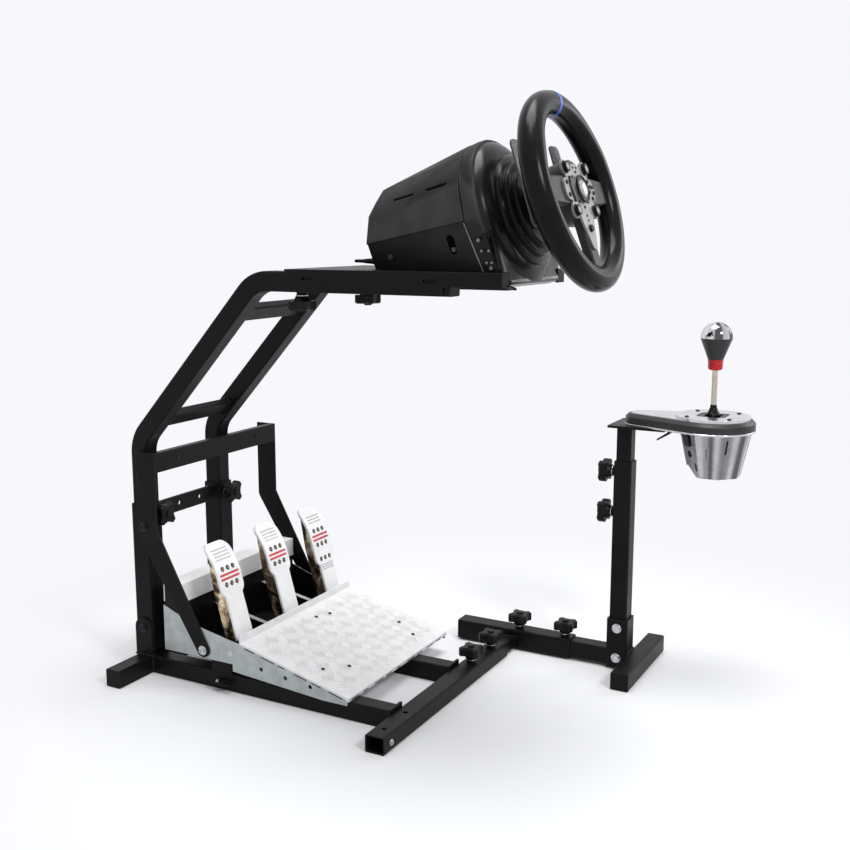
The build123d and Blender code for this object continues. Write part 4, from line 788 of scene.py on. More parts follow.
class STAND_OT_bolts(bpy.types.Operator):
    """Bolts of the straps, hinges and post, and bright washers under the knobs"""
    bl_idname = "stand.bolts"
    bl_label = "Bolts and washers"

    def execute(self, context):
        radius = context.scene.stand_frame.bolt_radius
        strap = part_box("pedal_bracket")
        ends = self.both_ends(strap, STRAP_FOOT, radius)
        for name, hand in HANDS:
            tab = meet(name + "_rail", mm(hand * TAB_X, TAB_Y, 60.0), DOWN)[0]
            ends.append((tab, UP, radius * 0.55))
        near = meet("cross_tube", mm(CROSS_X, -600.0, CROSS_Z), AHEAD)[0]
        ends.append((near, BACK, radius * 0.62))
        bolts("base_bright_bolts", ends, "bright_bolt", "base", "bright_steel", height=0.42)
        tops = self.both_ends(strap, STRAP_HEAD, radius)
        for side in ("left", "right"):
            tops += self.both_ends(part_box(side + "_upright_bracket"), HINGE, radius * 0.9)
        for x in BAR_SCREWS:
            tops.append((meet("pedal_bracket", mm(x, -300.0, BAR_Z), AHEAD)[0], BACK, radius * 0.42))
        bolts("base_dark_bolts", tops, "dark_bolt", *ON_BASE)
        sides = [meet("shifter_arm", mm(x, SOCKET_Y, 70.0), way)[0]
                 for x, way in ((200.0, RIGHT), (400.0, LEFT))]
        socket = []
        for height in SOCKET_HEIGHTS:
            socket += self.both_ends(sides, (SOCKET_Y / 1000.0, height), radius * 1.05)
        bolts("socket_bolts", socket, "bright_bolt", "shifter_arm", "bright_steel", sides=20, washer=0.16,
              head=0.8, height=0.4, recess=0.18)
        self.washers()
        return {"FINISHED"}

    def both_ends(self, ends, place, radius):
        """A bolt on the left end and one on the right end, at a depth and height."""
        return [(Vector((end.x, *place)), aim, radius) for end, aim in zip(ends, (LEFT, RIGHT))]

    def washers(self):
        """Bright rings where the clamp studs enter the tubes."""
        seats = {
            "base": [(mm(x, -491.0, 31.6), UP) for x in (127.0, 203.0)]
            + [(mm(x, -22.1, 273.0), BACK) for x in (-88.5, 88.5)],
            "cross_slide": [(mm(288.0, y, 41.6), UP) for y in (-508.0, -594.0)],
            "shifter_arm": [(mm(288.0, -672.2, z), AHEAD) for z in (269.0, 338.0)],
            "upper_frame": [(mm(x, -318.0, 636.4), DOWN) for x in (-92.5, 92.5)],
        }
        for body, places in seats.items():
            rings = [(*seat, RING_RADIUS) for seat in places]
            bolts(body + "_washers", rings, "bright_bolt", body, "bright_steel", sides=20, washer=0.11,
                  head=0.8, height=0.06, recess=0.01)


# Slope of the bent tubes: run and climb, and the height of the lower bend
TUBE_RUN, TUBE_CLIMB, TUBE_BEND = -240.0, 262.0, 394.0


class STAND_OT_welds(bpy.types.Operator):
    """Weld beads where the tubes meet"""
    bl_idname = "stand.welds"
    bl_label = "Welds"

    def execute(self, context):
        foot = ((80.0, 3.4), (80.0, 30.0), (110.0, 30.0), (110.0, 3.4))
        bracket = ((71.6, 17.0), (113.2, 17.0), (113.2, -14.0))
        paths = []
        for hand in (-1, 1):
            paths.append([mm(hand * x, -15.4, z) for x, z in foot])
            paths.append([mm(hand * x, y, 31.0) for x, y in bracket])
        welds("base_welds", paths, "base")
        slope = Vector((0.0, TUBE_RUN, TUBE_CLIMB)).normalized() * 14.0
        lift = Vector((0.0, slope.z, -slope.y)).normalized() * 7.0
        corners = (slope + lift, slope - lift, -slope - lift, -slope + lift, slope + lift)
        paths = []
        for height in (428.0, 606.0):
            middle = Vector((0.0, TUBE_RUN * (height - TUBE_BEND) / TUBE_CLIMB, height))
            for x in (-77.4, 77.4):
                paths.append([(middle + corner + RIGHT * x) / 1000.0 for corner in corners])
        welds("rung_welds", paths, "upper_frame")
        socket = ((269.8, 6.0), (269.8, 30.4), (306.2, 30.4), (306.2, 6.0))
        welds("socket_welds", [[mm(x, -710.2, z) for x, z in socket]], "shifter_arm")
        slide = ((-475.0, 4.0), (-475.0, 24.0), (-507.0, 24.0))
        welds("slide_welds", [[mm(270.8, y, z) for y, z in slide]], "cross_slide")
        return {"FINISHED"}


# Wire in metres from the tray's left front top corner: its foot, its sag and half its spread
WIRE_FOOT = (0.003, 0.001, -0.0175)
WIRE_SAG = Vector((0.0, -0.015, -0.004))
WIRE_HALF = 0.0095
WIRE_STEPS = 24
WIRE_RADIUS = 1.3


class STAND_OT_wire(bpy.types.Operator):
    """Wire bail under the front of the tray"""
    bl_idname = "stand.wire"
    bl_label = "Wire bail"

    def execute(self, context):
        low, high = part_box("wheel_tray")
        front = Vector([edge + shift for edge, shift in zip((low.x, low.y, high.z), WIRE_FOOT)])
        path = []
        for step in range(WIRE_STEPS + 1):
            turn = math.pi * step / WIRE_STEPS
            path.append(front + RIGHT * WIRE_HALF * (1.0 - math.cos(turn)) + WIRE_SAG * math.sin(turn))
        rows = []
        for index, place in enumerate(path):
            along = (path[min(index + 1, WIRE_STEPS)] - path[max(index - 1, 0)]).normalized()
            side = along.cross(UP).normalized()
            rows.append((place, side, side.cross(along)))
        piece("tray_wire", swept(rows, round_ring(WIRE_RADIUS, 10)), "dark_bolt", "wheel_unit", "dark_metal")
        return {"FINISHED"}


# Casing: top of the tray, place of its sections, belt, and the right half of each section
TRAY_TOP = 674.4
CASING_OUT = -25.0
CASING_REAR = -421.0
CASING_END = -411.0
BELT_STEP = 4.0
BELT_DROP = 1.6
FRONT_SECTION = ((86.0, -92.0), (113.5, -3.0), (103.5, 37.5), (93.0, 58.0), (60.0, 89.0), (28.0, 105.0))
REAR_SECTION = ((50.0, -7.0), (80.0, 36.0), (73.0, 74.0), (53.0, 94.0), (32.0, 112.0), (16.0, 117.0))
END_SECTION = ((36.0, 14.0), (57.6, 36.0), (52.6, 68.0), (38.2, 83.0), (23.0, 95.0), (11.5, 100.0))
KEYHOLE = (54.0, 13.0)
BAND_START, BAND_SWEEP, BAND_STEPS = -14.0, 208.0, 96
# Lowest line of the collar in metres, heights of the fascia, and the notch of the tray round it
COLLAR_LOW = -0.0995
FASCIA_LOW, FASCIA_HIGH = -100.0, -22.0
NOTCH_HALF, NOTCH_REAR = 85.0, -632.4
# Pegs, seam highlights and screws of the casing in metres
PEG_BACK, PEG_RISE, PEG_RADIUS = 0.056, 0.002, 0.004
SEAM_BACK = 0.0022
SCREW_RADIUS = 0.0036
FAR = 9000.0


class STAND_OT_wheel_base(bpy.types.Operator):
    """Casing, front band, collar, fascia and rings of the wheel base"""
    bl_idname = "stand.wheel_base"
    bl_label = "Wheel base"

    def execute(self, context):
        look = context.scene.stand_wheel
        paint("shell_plastic", "base_bezel", "steering_column")
        made = piece("casing_shell", self.casing(), "casing_plastic", *ON_CASING)
        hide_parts("wheel_base")
        made = piece("collar_shell", self.collar(), "shell_plastic", *ON_CASING)
        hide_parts("base_collar")
        piece("casing_band", self.band(look), "casing_plastic", *ON_CASING)
        for name, hand in HANDS:
            piece(name + "_flank", self.flank(hand), "shell_plastic", *ON_CASING)
        self.buttons()
        self.fittings()
        self.lead_end()
        return {"FINISHED"}

    def front_point(self, x, rise):
        """Point of the casing's front section."""
        return wheel_point(x, rise, CASING_OUT)

    def rear_point(self, x, height, y=CASING_REAR):
        """Point of a section behind, its height measured from the tray."""
        return mm(x, y, TRAY_TOP + height)

    def half(self, section, place):
        """Right half of a section with its belt step, cut off where it would sink into the tray."""
        foot, belt, *upper = section
        under = (belt[0] - BELT_STEP, belt[1] - BELT_DROP)
        low, high = place(*foot).z, place(*under).z
        share = max(0.0, (TRAY_TOP / 1000.0 + 0.0001 - low) / (high - low))
        foot = tuple(a + (b - a) * share for a, b in zip(foot, under))
        return [foot, under, belt, *upper]

    def row(self, section, place):
        """Whole section as points, from the right foot over the roof to the left foot."""
        half = self.half(section, place)
        return [place(x, y) for x, y in half] + [place(-x, y) for x, y in reversed(half)]

    def casing(self):
        """Faceted casing, tall in front and narrow behind, with vents and keyholes on both sides."""
        front = self.row(FRONT_SECTION, self.front_point)
        rear = self.row(REAR_SECTION, self.rear_point)
        end = self.row(END_SECTION, lambda x, height: self.rear_point(x, height, CASING_END))
        steps = 10
        rows = [[a.lerp(b, step / steps) for a, b in zip(front, rear)] for step in range(steps + 1)]
        cuts = []
        for hand in (-1, 1):
            for ahead in (-22.0, 40.0):
                cuts.append(self.on_facet(hand, 2, stadium(40.0, 5.0), ahead, 6.0, -5.0, 9.0))
            cuts.append(self.on_facet(hand, 0, upright_slot(28.0, 13.0), *KEYHOLE, -4.0, 8.0))
        return carved(skin([*rows, end]), 24.0, *(("DIFFERENCE", cut) for cut in cuts))

    def facet(self, hand, level):
        """Middle of a side facet with its directions to the front, upwards and outwards."""
        front = [self.front_point(hand * x, y) for x, y in FRONT_SECTION[level:level + 2]]
        rear = [self.rear_point(hand * x, y) for x, y in REAR_SECTION[level:level + 2]]
        middle = (front[0] + front[1] + rear[0] + rear[1]) / 4
        ahead = (front[0] + front[1] - rear[0] - rear[1]).normalized()
        rise = front[1] + rear[1] - front[0] - rear[0]
        out = (ahead.cross(rise) * -hand).normalized()
        return middle, ahead, out.cross(ahead) * -hand, out

    def on_facet(self, hand, level, outline, ahead, rise, low, high):
        """Solid of an outline that stands on a side facet, from a depth to a height."""
        middle, way, up, out = self.facet(hand, level)
        return extruded(outline, lambda x, y, height: middle + (
            way * (x + ahead) + up * (y + rise) + out * height) / 1000.0, low, high)

    def collar(self):
        """Round shell in front of the casing over a tapered fascia that hangs in the notch of the tray."""
        profile = [(0.0, -25.0), (100.5, -25.0), (104.2, -20.0), (106.2, -14.0), (106.0, -8.0),
                   (104.6, -3.0), (102.0, 1.5), (98.0, 5.8), (92.5, 9.6), (86.5, 12.4), (82.0, 14.0),
                   (0.0, 14.0)]
        dome = turned(WHEEL_FOOT, WHEEL_OUT, profile, 96)
        for vert in dome.vertices:
            short = COLLAR_LOW - (vert.co - WHEEL_FOOT).dot(WHEEL_RISE)
            vert.co += WHEEL_RISE * max(0.0, short)
        rows = []
        for half, out in ((92.0, -24.9), (99.0, 0.0), (100.0, 2.6), (99.2, 3.7), (97.8, 4.2)):
            corners = oblong(-half, FASCIA_LOW, half, FASCIA_HIGH)
            rows.append([wheel_point(x, y, out) for x, y in corners])
        under, base = TRAY_TOP + 0.2, 560.0
        tray = (block((-130.0, NOTCH_REAR, base), (130.0, -480.0, under)),
                block((-130.0, -700.0, base), (-NOTCH_HALF, -620.0, under)),
                block((NOTCH_HALF, -700.0, base), (130.0, -620.0, under)))
        return carved(dome, 30.0, ("UNION", skin(rows)), *(("DIFFERENCE", part) for part in tray))

    def flank(self, hand):
        """Strip beside the fascia that carries on the line of the lower panel."""
        rows = []
        for out, top, foot, rise in ((-24.8, 109.6, 91.4, -73.0), (-5.0, 107.4, 98.6, -79.4),
                                     (-3.2, 106.0, 97.6, -79.6)):
            corners = ((foot, rise), (top, -7.0), (top - 14.0, -7.0), (foot - 8.0, rise))
            rows.append([wheel_point(hand * x, y, out) for x, y in corners])
        return skin(rows)

    def band(self, look):
        """Smooth rim of the casing between its panels and the round collar."""
        foot, _, *upper = self.half(FRONT_SECTION, self.front_point)
        half = [Vector(point) for point in (foot, *upper)]
        hull = half + [Vector((-point.x, point.y)) for point in reversed(half)]
        wide, tall = look.band_half_width * 1000.0, look.band_rise * 1000.0
        rows = []
        for step in range(BAND_STEPS + 1):
            turn = math.radians(BAND_START + BAND_SWEEP * step / BAND_STEPS)
            way = Vector((math.cos(turn), math.sin(turn)))
            panel = min(self.reach(way, hull[index - 1], hull[index]) for index in range(len(hull)))
            oval = wide * tall / math.hypot(tall * way.x, wide * way.y)
            profile = ((-24.9, panel - 3.0), (-24.0, panel - 3.0), (-22.9, panel + 0.1), (-20.0, oval),
                       (-12.0, oval + 0.5), (-4.5, oval), (-2.9, oval - 0.9), (-2.3, oval - 2.6),
                       (-2.3, oval - 9.0), (-24.9, oval - 11.0))
            rows.append([wheel_point(way.x * radius, way.y * radius, out) for out, radius in profile])
        return skin(rows)

    def reach(self, way, first, last):
        """Distance from the axis to one side of the outline, or a far one if that side isn't met."""
        side = last - first
        across = way.x * side.y - way.y * side.x
        if abs(across) < 1e-9:
            return FAR
        far = (first.x * side.y - first.y * side.x) / across
        share = (first.x * way.y - first.y * way.x) / across
        return far if far > 0.0 and -1e-6 <= share <= 1.000001 else FAR

    def buttons(self):
        """Buttons on the flanks, and the bright strip low on the fascia."""
        spots = []
        for rise, out, radius in ((-32.5, -15.4, 2.4), (-46.8, -16.1, 1.8), (-49.8, -6.3, 1.8),
                                  (-63.3, -15.5, 2.0), (-65.7, -7.6, 1.8), (-72.0, -12.0, 2.8)):
            for name, hand in HANDS:
                spot, normal = meet(name + "_flank", wheel_point(hand * 160.0, rise, out), RIGHT * -hand)
                spots.append((spot, normal, radius / 1000.0))
        bolts("flank_buttons", spots, "button_grey", *ON_CASING, sides=16, washer=0.2, head=0.8, height=0.5,
              recess=0.12)
        edge = [(-97.0, 3.6), (-93.5, 3.6), (-93.5, 4.9), (-94.0, 5.2), (-97.0, 5.2)]
        path = [(wheel_point(x, 0.0, 0.0), WHEEL_RISE, WHEEL_OUT) for x in (-83.0, 83.0)]
        piece("fascia_strip", swept(path, edge), "button_grey", *ON_CASING)

    def fittings(self):
        """Seams in light grey as a painted highlight, latches, keyhole floors in near black as painted
        shade, and pegs on both sides, and the screws behind.
        """
        pegs = []
        for name, hand in HANDS:
            middle, ahead, up, out = self.facet(hand, 0)
            pegs.append((middle - ahead * PEG_BACK + up * PEG_RISE, out, PEG_RADIUS))
            # Painted highlight: a light grey seam line along the front edge of the lower panel
            line = [(self.front_point(hand * x, y) - WHEEL_OUT * SEAM_BACK, ahead, out)
                    for x, y in self.half(FRONT_SECTION, self.front_point)[:2]]
            piece(name + "_seam", swept(line, oblong(-0.7, -0.6, 0.7, 0.25)), "button_grey", *ON_CASING)
            latch = self.on_facet(hand, 0, oblong(-3.0, -3.4, 3.0, 2.4), 55.5, 7.0, -4.2, -1.6)
            piece(name + "_latch", latch, "soft_grey", *ON_CASING)
            # Painted shade: a near black sheet on the floor of each keyhole
            floor = self.on_facet(hand, 0, upright_slot(27.6, 12.6), *KEYHOLE, -4.4, -3.6)
            piece(name + "_keyhole", floor, "pitch_black", *ON_CASING)
        bolts("casing_pegs", pegs, "soft_grey", *ON_CASING, sides=20, washer=0.3, head=0.7, height=0.7,
              recess=0.3)
        screws = []
        for x, height in ((-30.0, 40.0), (30.0, 40.0), (-22.0, 78.0), (22.0, 78.0)):
            spot, normal = meet("casing_shell", mm(x, CASING_END + 100.0, TRAY_TOP + height), BACK)
            screws.append((spot, normal, SCREW_RADIUS))
        bolts("casing_screws", screws, "dark_bolt", "wheel_unit", "dark_metal", sides=16, washer=0.1,
              head=0.8, height=0.3, recess=0.25)

    def lead_end(self):
        """Plug low on the back of the casing with its ribbed strain relief."""
        profile = [(0.0, -8.0), (5.5, -8.0), (5.5, 11.0), (5.1, 12.0), (4.2, 12.4)]
        for rib in range(4):
            radius = 4.4 - 0.35 * rib
            start = 13.0 + 4.2 * rib
            profile += [(radius, start), (radius, start + 2.4), (radius - 0.8, start + 2.9),
                        (radius - 0.8, start + 3.7)]
        profile += [(2.9, 30.0), (2.7, 31.0), (2.3, 44.0), (1.9, 45.0), (0.0, 45.0)]
        foot = mm(-38.0, CASING_REAR, TRAY_TOP + 11.0)
        made = piece("lead_end", turned(foot, AHEAD, profile, 32), "black_moulding", *ON_CASING)
        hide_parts("lead_plug")


# Rim: middle line in metres, place along the axis, radius of the grip, thumb swells, groove on the inside
RIM_RADIUS, RIM_OUT = 0.1225, 92.0
GRIP_RADIUS, GRIP_STEPS = 17.5, 40
THUMB_TURN, THUMB_SPREAD, THUMB_FACE = 0.42, 0.2, math.pi * 0.75
GROOVE_DEPTH, GROOVE_SPREAD = 0.45, 0.07


class STAND_OT_rim(bpy.types.Operator):
    """Grip of the wheel with its thumb swells and top mark"""
    bl_idname = "stand.rim"
    bl_label = "Rim"

    def execute(self, context):
        look = context.scene.stand_wheel
        made = piece("rim_grip", self.ring(look, 0.0, math.tau, 160, 0.0), "grip_cover", "steering_wheel",
                     "grip_rubber")
        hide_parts("wheel_rim")
        half = look.mark_width / RIM_RADIUS / 2
        mark = self.ring(look, math.pi / 2 - half, math.pi / 2 + half, 6, 0.35)
        piece("rim_mark", mark, "mark_blue", "steering_wheel", "grip_rubber")
        return {"FINISHED"}

    def ring(self, look, first, last, steps, proud):
        """Part of the grip between two angles, a little proud of it where asked."""
        whole = last - first > 6.0
        rows = []
        for step in range(steps if whole else steps + 1):
            angle = first + (last - first) * step / steps
            spoke = RIGHT * math.cos(angle) + WHEEL_RISE * math.sin(angle)
            middle = wheel_point(0.0, 0.0, RIM_OUT) + spoke * RIM_RADIUS
            thumbs = (THUMB_TURN, math.pi - THUMB_TURN, THUMB_TURN + math.tau)
            near = min(abs(angle - turn) for turn in thumbs)
            swell = look.thumb_swell * 1000.0 * math.exp(-(near / THUMB_SPREAD) ** 2)
            row = []
            for part in range(GRIP_STEPS):
                turn = math.tau * part / GRIP_STEPS
                radius = GRIP_RADIUS + proud + swell * max(0.0, math.cos(turn - THUMB_FACE))
                radius -= GROOVE_DEPTH * math.exp(-((turn - math.pi) / GROOVE_SPREAD) ** 2)
                row.append(middle + (spoke * math.cos(turn) + WHEEL_OUT * math.sin(turn)) * radius / 1000.0)
            rows.append(row)
        return skin(rows, whole)


# Hub: heights of the pods along the axis, and the arc on the left pod in degrees and millimetres
POD_FOOT, POD_TOP = 97.6, 101.3
ARC_START, ARC_SWEEP, ARC_STEPS, ARC_RADIUS = 150.0, 60.0, 16, 33.0


def ring_spots(radius, turns):
    """Places on a circle, for turns in degrees."""
    angles = [math.radians(turn) for turn in turns]
    return [(radius * math.cos(angle), radius * math.sin(angle)) for angle in angles]


class STAND_OT_hub(bpy.types.Operator):
    """Hub plate, spokes, buttons, centre cap and paddles"""
    bl_idname = "stand.hub"
    bl_label = "Hub and buttons"

    def execute(self, context):
        paint("hub_silver", "hub_plate")
        paint("spoke_cast", "wheel_spokes")
        paint("paddle_leaf", "left_paddle", "right_paddle")
        self.pods()
        self.caps()
        return {"FINISHED"}

    def pods(self):
        """Side pods and the raised arc on the left one."""
        pod = [(27.0, -17.0), (48.0, -14.0), (53.0, -9.0), (54.0, 0.0), (53.0, 10.0), (48.0, 15.0),
               (27.0, 18.0)]
        for name, hand in HANDS:
            mesh = extruded([(hand * x, y) for x, y in pod], wheel_point, POD_FOOT, POD_TOP)
            piece(name + "_pod", mesh, "hub_silver", "steering_wheel", "white_metal")
        arc = []
        for step in range(ARC_STEPS + 1):
            turn = math.radians(ARC_START + ARC_SWEEP * step / ARC_STEPS)
            way = RIGHT * math.cos(turn) + WHEEL_RISE * math.sin(turn)
            place = wheel_point(0.0, 0.0, POD_TOP) + way * (ARC_RADIUS / 1000.0)
            arc.append((place, way, WHEEL_OUT))
        bar = [(-2.6, -0.4), (2.6, -0.4), (2.6, 1.2), (1.8, 2.0), (-1.8, 2.0), (-2.6, 1.2)]
        piece("side_arc", swept(arc, bar), "black_moulding", *ON_WHEEL)

    def caps(self):
        """Buttons of the ears and pods, screws and a plain domed cap."""
        ears = ring_spots(46.0, (40.0, 140.0, 220.0, 320.0))
        self.dots("ear_buttons", ears, 8.8, 100.6, "knob_plastic", 24)
        pads = [(34.5, 12.0), (34.5, -2.0), (28.5, 5.0), (40.5, 5.0), (48.0, 4.5), (48.5, -3.5),
                (40.0, -11.5), (-44.0, 9.0), (-44.0, -8.0)]
        self.dots("pod_buttons", pads, 3.1, 101.0, "black_moulding", 16)
        screws = ring_spots(24.5, (45.0, 90.0, 135.0, 225.0, 270.0, 315.0))
        self.dots("hub_screws", screws, 2.2, 100.8, "dark_bolt", 6)
        pins = [(-6.0, 30.5), (6.0, 30.5), (0.0, -36.0), (0.0, -43.0)]
        self.dots("plate_pins", pins, 1.7, 100.8, "black_moulding", 8)
        self.dots("tongue_button", [(0.0, -54.0)], 5.6, 100.7, "black_moulding", 20)
        ring = [(0.0, 103.5), (18.8, 103.5), (19.6, 104.6), (19.2, 106.6), (17.4, 107.0), (16.2, 105.6),
                (0.0, 105.4)]
        piece("cap_ring", turned(WHEEL_FOOT, WHEEL_OUT, ring), "black_moulding", *ON_WHEEL)
        dome = [(0.0, 105.0), (12.6, 105.0), (12.2, 106.6), (10.6, 107.8), (7.6, 108.8), (4.0, 109.3),
                (0.0, 109.5)]
        piece("hub_dome", turned(WHEEL_FOOT, WHEEL_OUT, dome), "cap_silver", "steering_wheel", "white_metal")

    def dots(self, name, spots, radius, out, look, sides):
        """Small caps on the front of the hub."""
        places = [(wheel_point(x, y, out), WHEEL_OUT, radius / 1000.0) for x, y in spots]
        bolts(name, places, look, *ON_WHEEL, sides=sides, washer=0.2, head=0.84, height=0.42, recess=0.1)


def joined(shells):
    """One mesh of several closed shells."""
    verts, faces = [], []
    for points, sides in shells:
        faces += [tuple(index + len(verts) for index in side) for side in sides]
        verts += points
    return solid(verts, faces)


# Pedal faces in metres: heights of stripes, rows of holes and ribs, then holes, painted hole shades, pins
# and margins
STRIPES = (0.1878, 0.1812)
HOLE_ROWS, THROTTLE_ROWS = [0.1968, 0.1722], [0.1472]
RIBS, SHORT_RIBS, THROTTLE_RIBS = [0.2105, 0.2152, 0.2199], [0.2246], [0.1365, 0.1325, 0.1285]
HOLE_PITCH, BESIDE_HOLE = 0.013, 0.0045
HOLE_SHADE_RADIUS, HOLE_SHADE_SINK = 0.0041, 0.0003
PIN_RADIUS, PIN_RISE = 0.0021, 0.0002
FACE_MARGIN, RIB_WIDTH = 0.005, 0.0016
RAY_START = -0.5
# How far stripes and ribs stand proud, in millimetres
STRIPE_PROUD, RIB_PROUD = 0.3, 0.45


class STAND_OT_pedals(bpy.types.Operator):
    """Faces, arms and sheets of the pedal set"""
    bl_idname = "stand.pedals"
    bl_label = "Pedals"

    def execute(self, context):
        look = context.scene.stand_pedals
        paint("hood_white", "pedal_cover_hood")
        paint("pedal_sheet", "pedal_tray")
        paint("black_moulding", "pedal_rear_cover")
        paint("tread_sheet", "heel_plate")
        paint("bright_bolt", "pedal_shaft")
        for pedal in PEDALS:
            paint("pedal_white", pedal + "_pedal_face")
            paint("arm_bronze", pedal + "_pedal_arm")
            self.dress(pedal, look.stripe_width)
        return {"FINISHED"}

    def dress(self, pedal, wide):
        """Painted lines, black discs as painted shade in the holes with a pin in each, and fine ribs in grey
        as painted shade, on one face.
        """
        node, body, long = pedal + "_pedal_face", pedal + "_pedal", pedal == "throttle"
        low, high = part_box(node)
        middle = (low.x + high.x) / 2
        half = (high.x - low.x) / 2 - FACE_MARGIN
        stripes = [self.ribbon(node, middle, half, height, wide, STRIPE_PROUD) for height in STRIPES]
        piece(pedal + "_stripes", joined(stripes), "stripe_red", body, "pedal_steel")
        # Painted shade: a black disc at each hole stands for the shade inside it, with a small pin in its
        # middle
        hole_shades, pins = [], []
        for height in HOLE_ROWS + (THROTTLE_ROWS if long else []):
            for offset in (-HOLE_PITCH, 0.0, HOLE_PITCH):
                spot, aim = self.face_point(node, middle + offset, height)
                hole_shades.append((spot - aim * HOLE_SHADE_SINK, aim, HOLE_SHADE_RADIUS))
                pins.append((spot + aim * PIN_RISE, aim, PIN_RADIUS))
        bolts(pedal + "_cups", hole_shades, "black_moulding", body, "dark_metal", sides=20, washer=0.1, head=0.92,
              height=0.04, recess=0.02)
        bolts(pedal + "_pins", pins, "pin_brass", body, "bright_steel", sides=6, washer=0.3, head=0.8,
              height=0.3, recess=0.2)
        # Painted shade: the ribs are grey so they read on the white face
        ribs = [self.ribbon(node, middle, half - FACE_MARGIN, height, RIB_WIDTH, RIB_PROUD)
                for height in RIBS + (THROTTLE_RIBS if long else SHORT_RIBS)]
        piece(pedal + "_ribs", joined(ribs), "rib_grey", body, "pedal_steel")

    def face_point(self, node, x, height):
        """Point on the front of a face, read beside the drilled holes."""
        first = meet(node, Vector((x - BESIDE_HOLE, RAY_START, height)), AHEAD)
        last = meet(node, Vector((x + BESIDE_HOLE, RAY_START, height)), AHEAD)
        return (first[0] + last[0]) / 2, (first[1] + last[1]).normalized()

    def ribbon(self, node, middle, half, height, wide, proud):
        """Thin raised strip that follows the face from side to side."""
        verts, faces = [], []
        steps = 12
        for step in range(steps + 1):
            x = middle - half + 2 * half * step / steps
            for edge in (-wide / 2, wide / 2):
                spot, aim = meet(node, Vector((x, RAY_START, height + edge)), AHEAD)
                verts += [spot + aim * proud / 1000.0, spot - aim * 0.0004]
        for step in range(steps):
            a, b = step * 4, step * 4 + 4
            faces += [(a, b, b + 2, a + 2), (a + 1, a + 3, b + 3, b + 1), (a, a + 1, b + 1, b),
                      (a + 2, b + 2, b + 3, a + 3)]
        faces += [(0, 2, 3, 1), (steps * 4, steps * 4 + 1, steps * 4 + 3, steps * 4 + 2)]
        return verts, faces


# Heel plate: middle and length of the tread in metres, bars of a group, and the line of the left edge
TREAD_MIDDLE, TREAD_LENGTH, TREAD_BARS = -0.2995, 0.192, 5
EDGE_REAR, EDGE_FRONT = mm(-113.0, -199.0, 82.4), mm(-113.0, -400.0, 31.4)
# Painted shade: lengths of the dark dashes along the left edge and along the front fold, in millimetres
SIDE_SHADE_DASHES = (20.0, 26.0, 14.0, 24.0, 18.0, 26.0)
FRONT_SHADE_DASHES = (22.0, 14.0, 26.0, 18.0, 12.0, 24.0, 16.0, 20.0, 14.0)
SHADE_DASH_WIDTH, SHADE_DASH_DEPTHS = 1.7, (-0.0008, 0.0003)
# First painted shade dash and step as shares of the left edge, its length, and first dash, step and height
# in front
SIDE_START, SIDE_STEP, SIDE_LENGTH = 0.055, 0.156, 207.0
FRONT_START, FRONT_STEP, FRONT_HEIGHT = -104.0, 34.4, 31.8
# Screws: place across and along, radius and rise in metres
HEEL_SCREWS = ((-72.0, -330.0), (-30.0, -352.0), (62.0, -228.0), (92.0, -236.0), (168.0, -330.0),
               (150.0, -368.0))
HEEL_RADIUS, HEEL_RISE = 0.0032, 0.0006


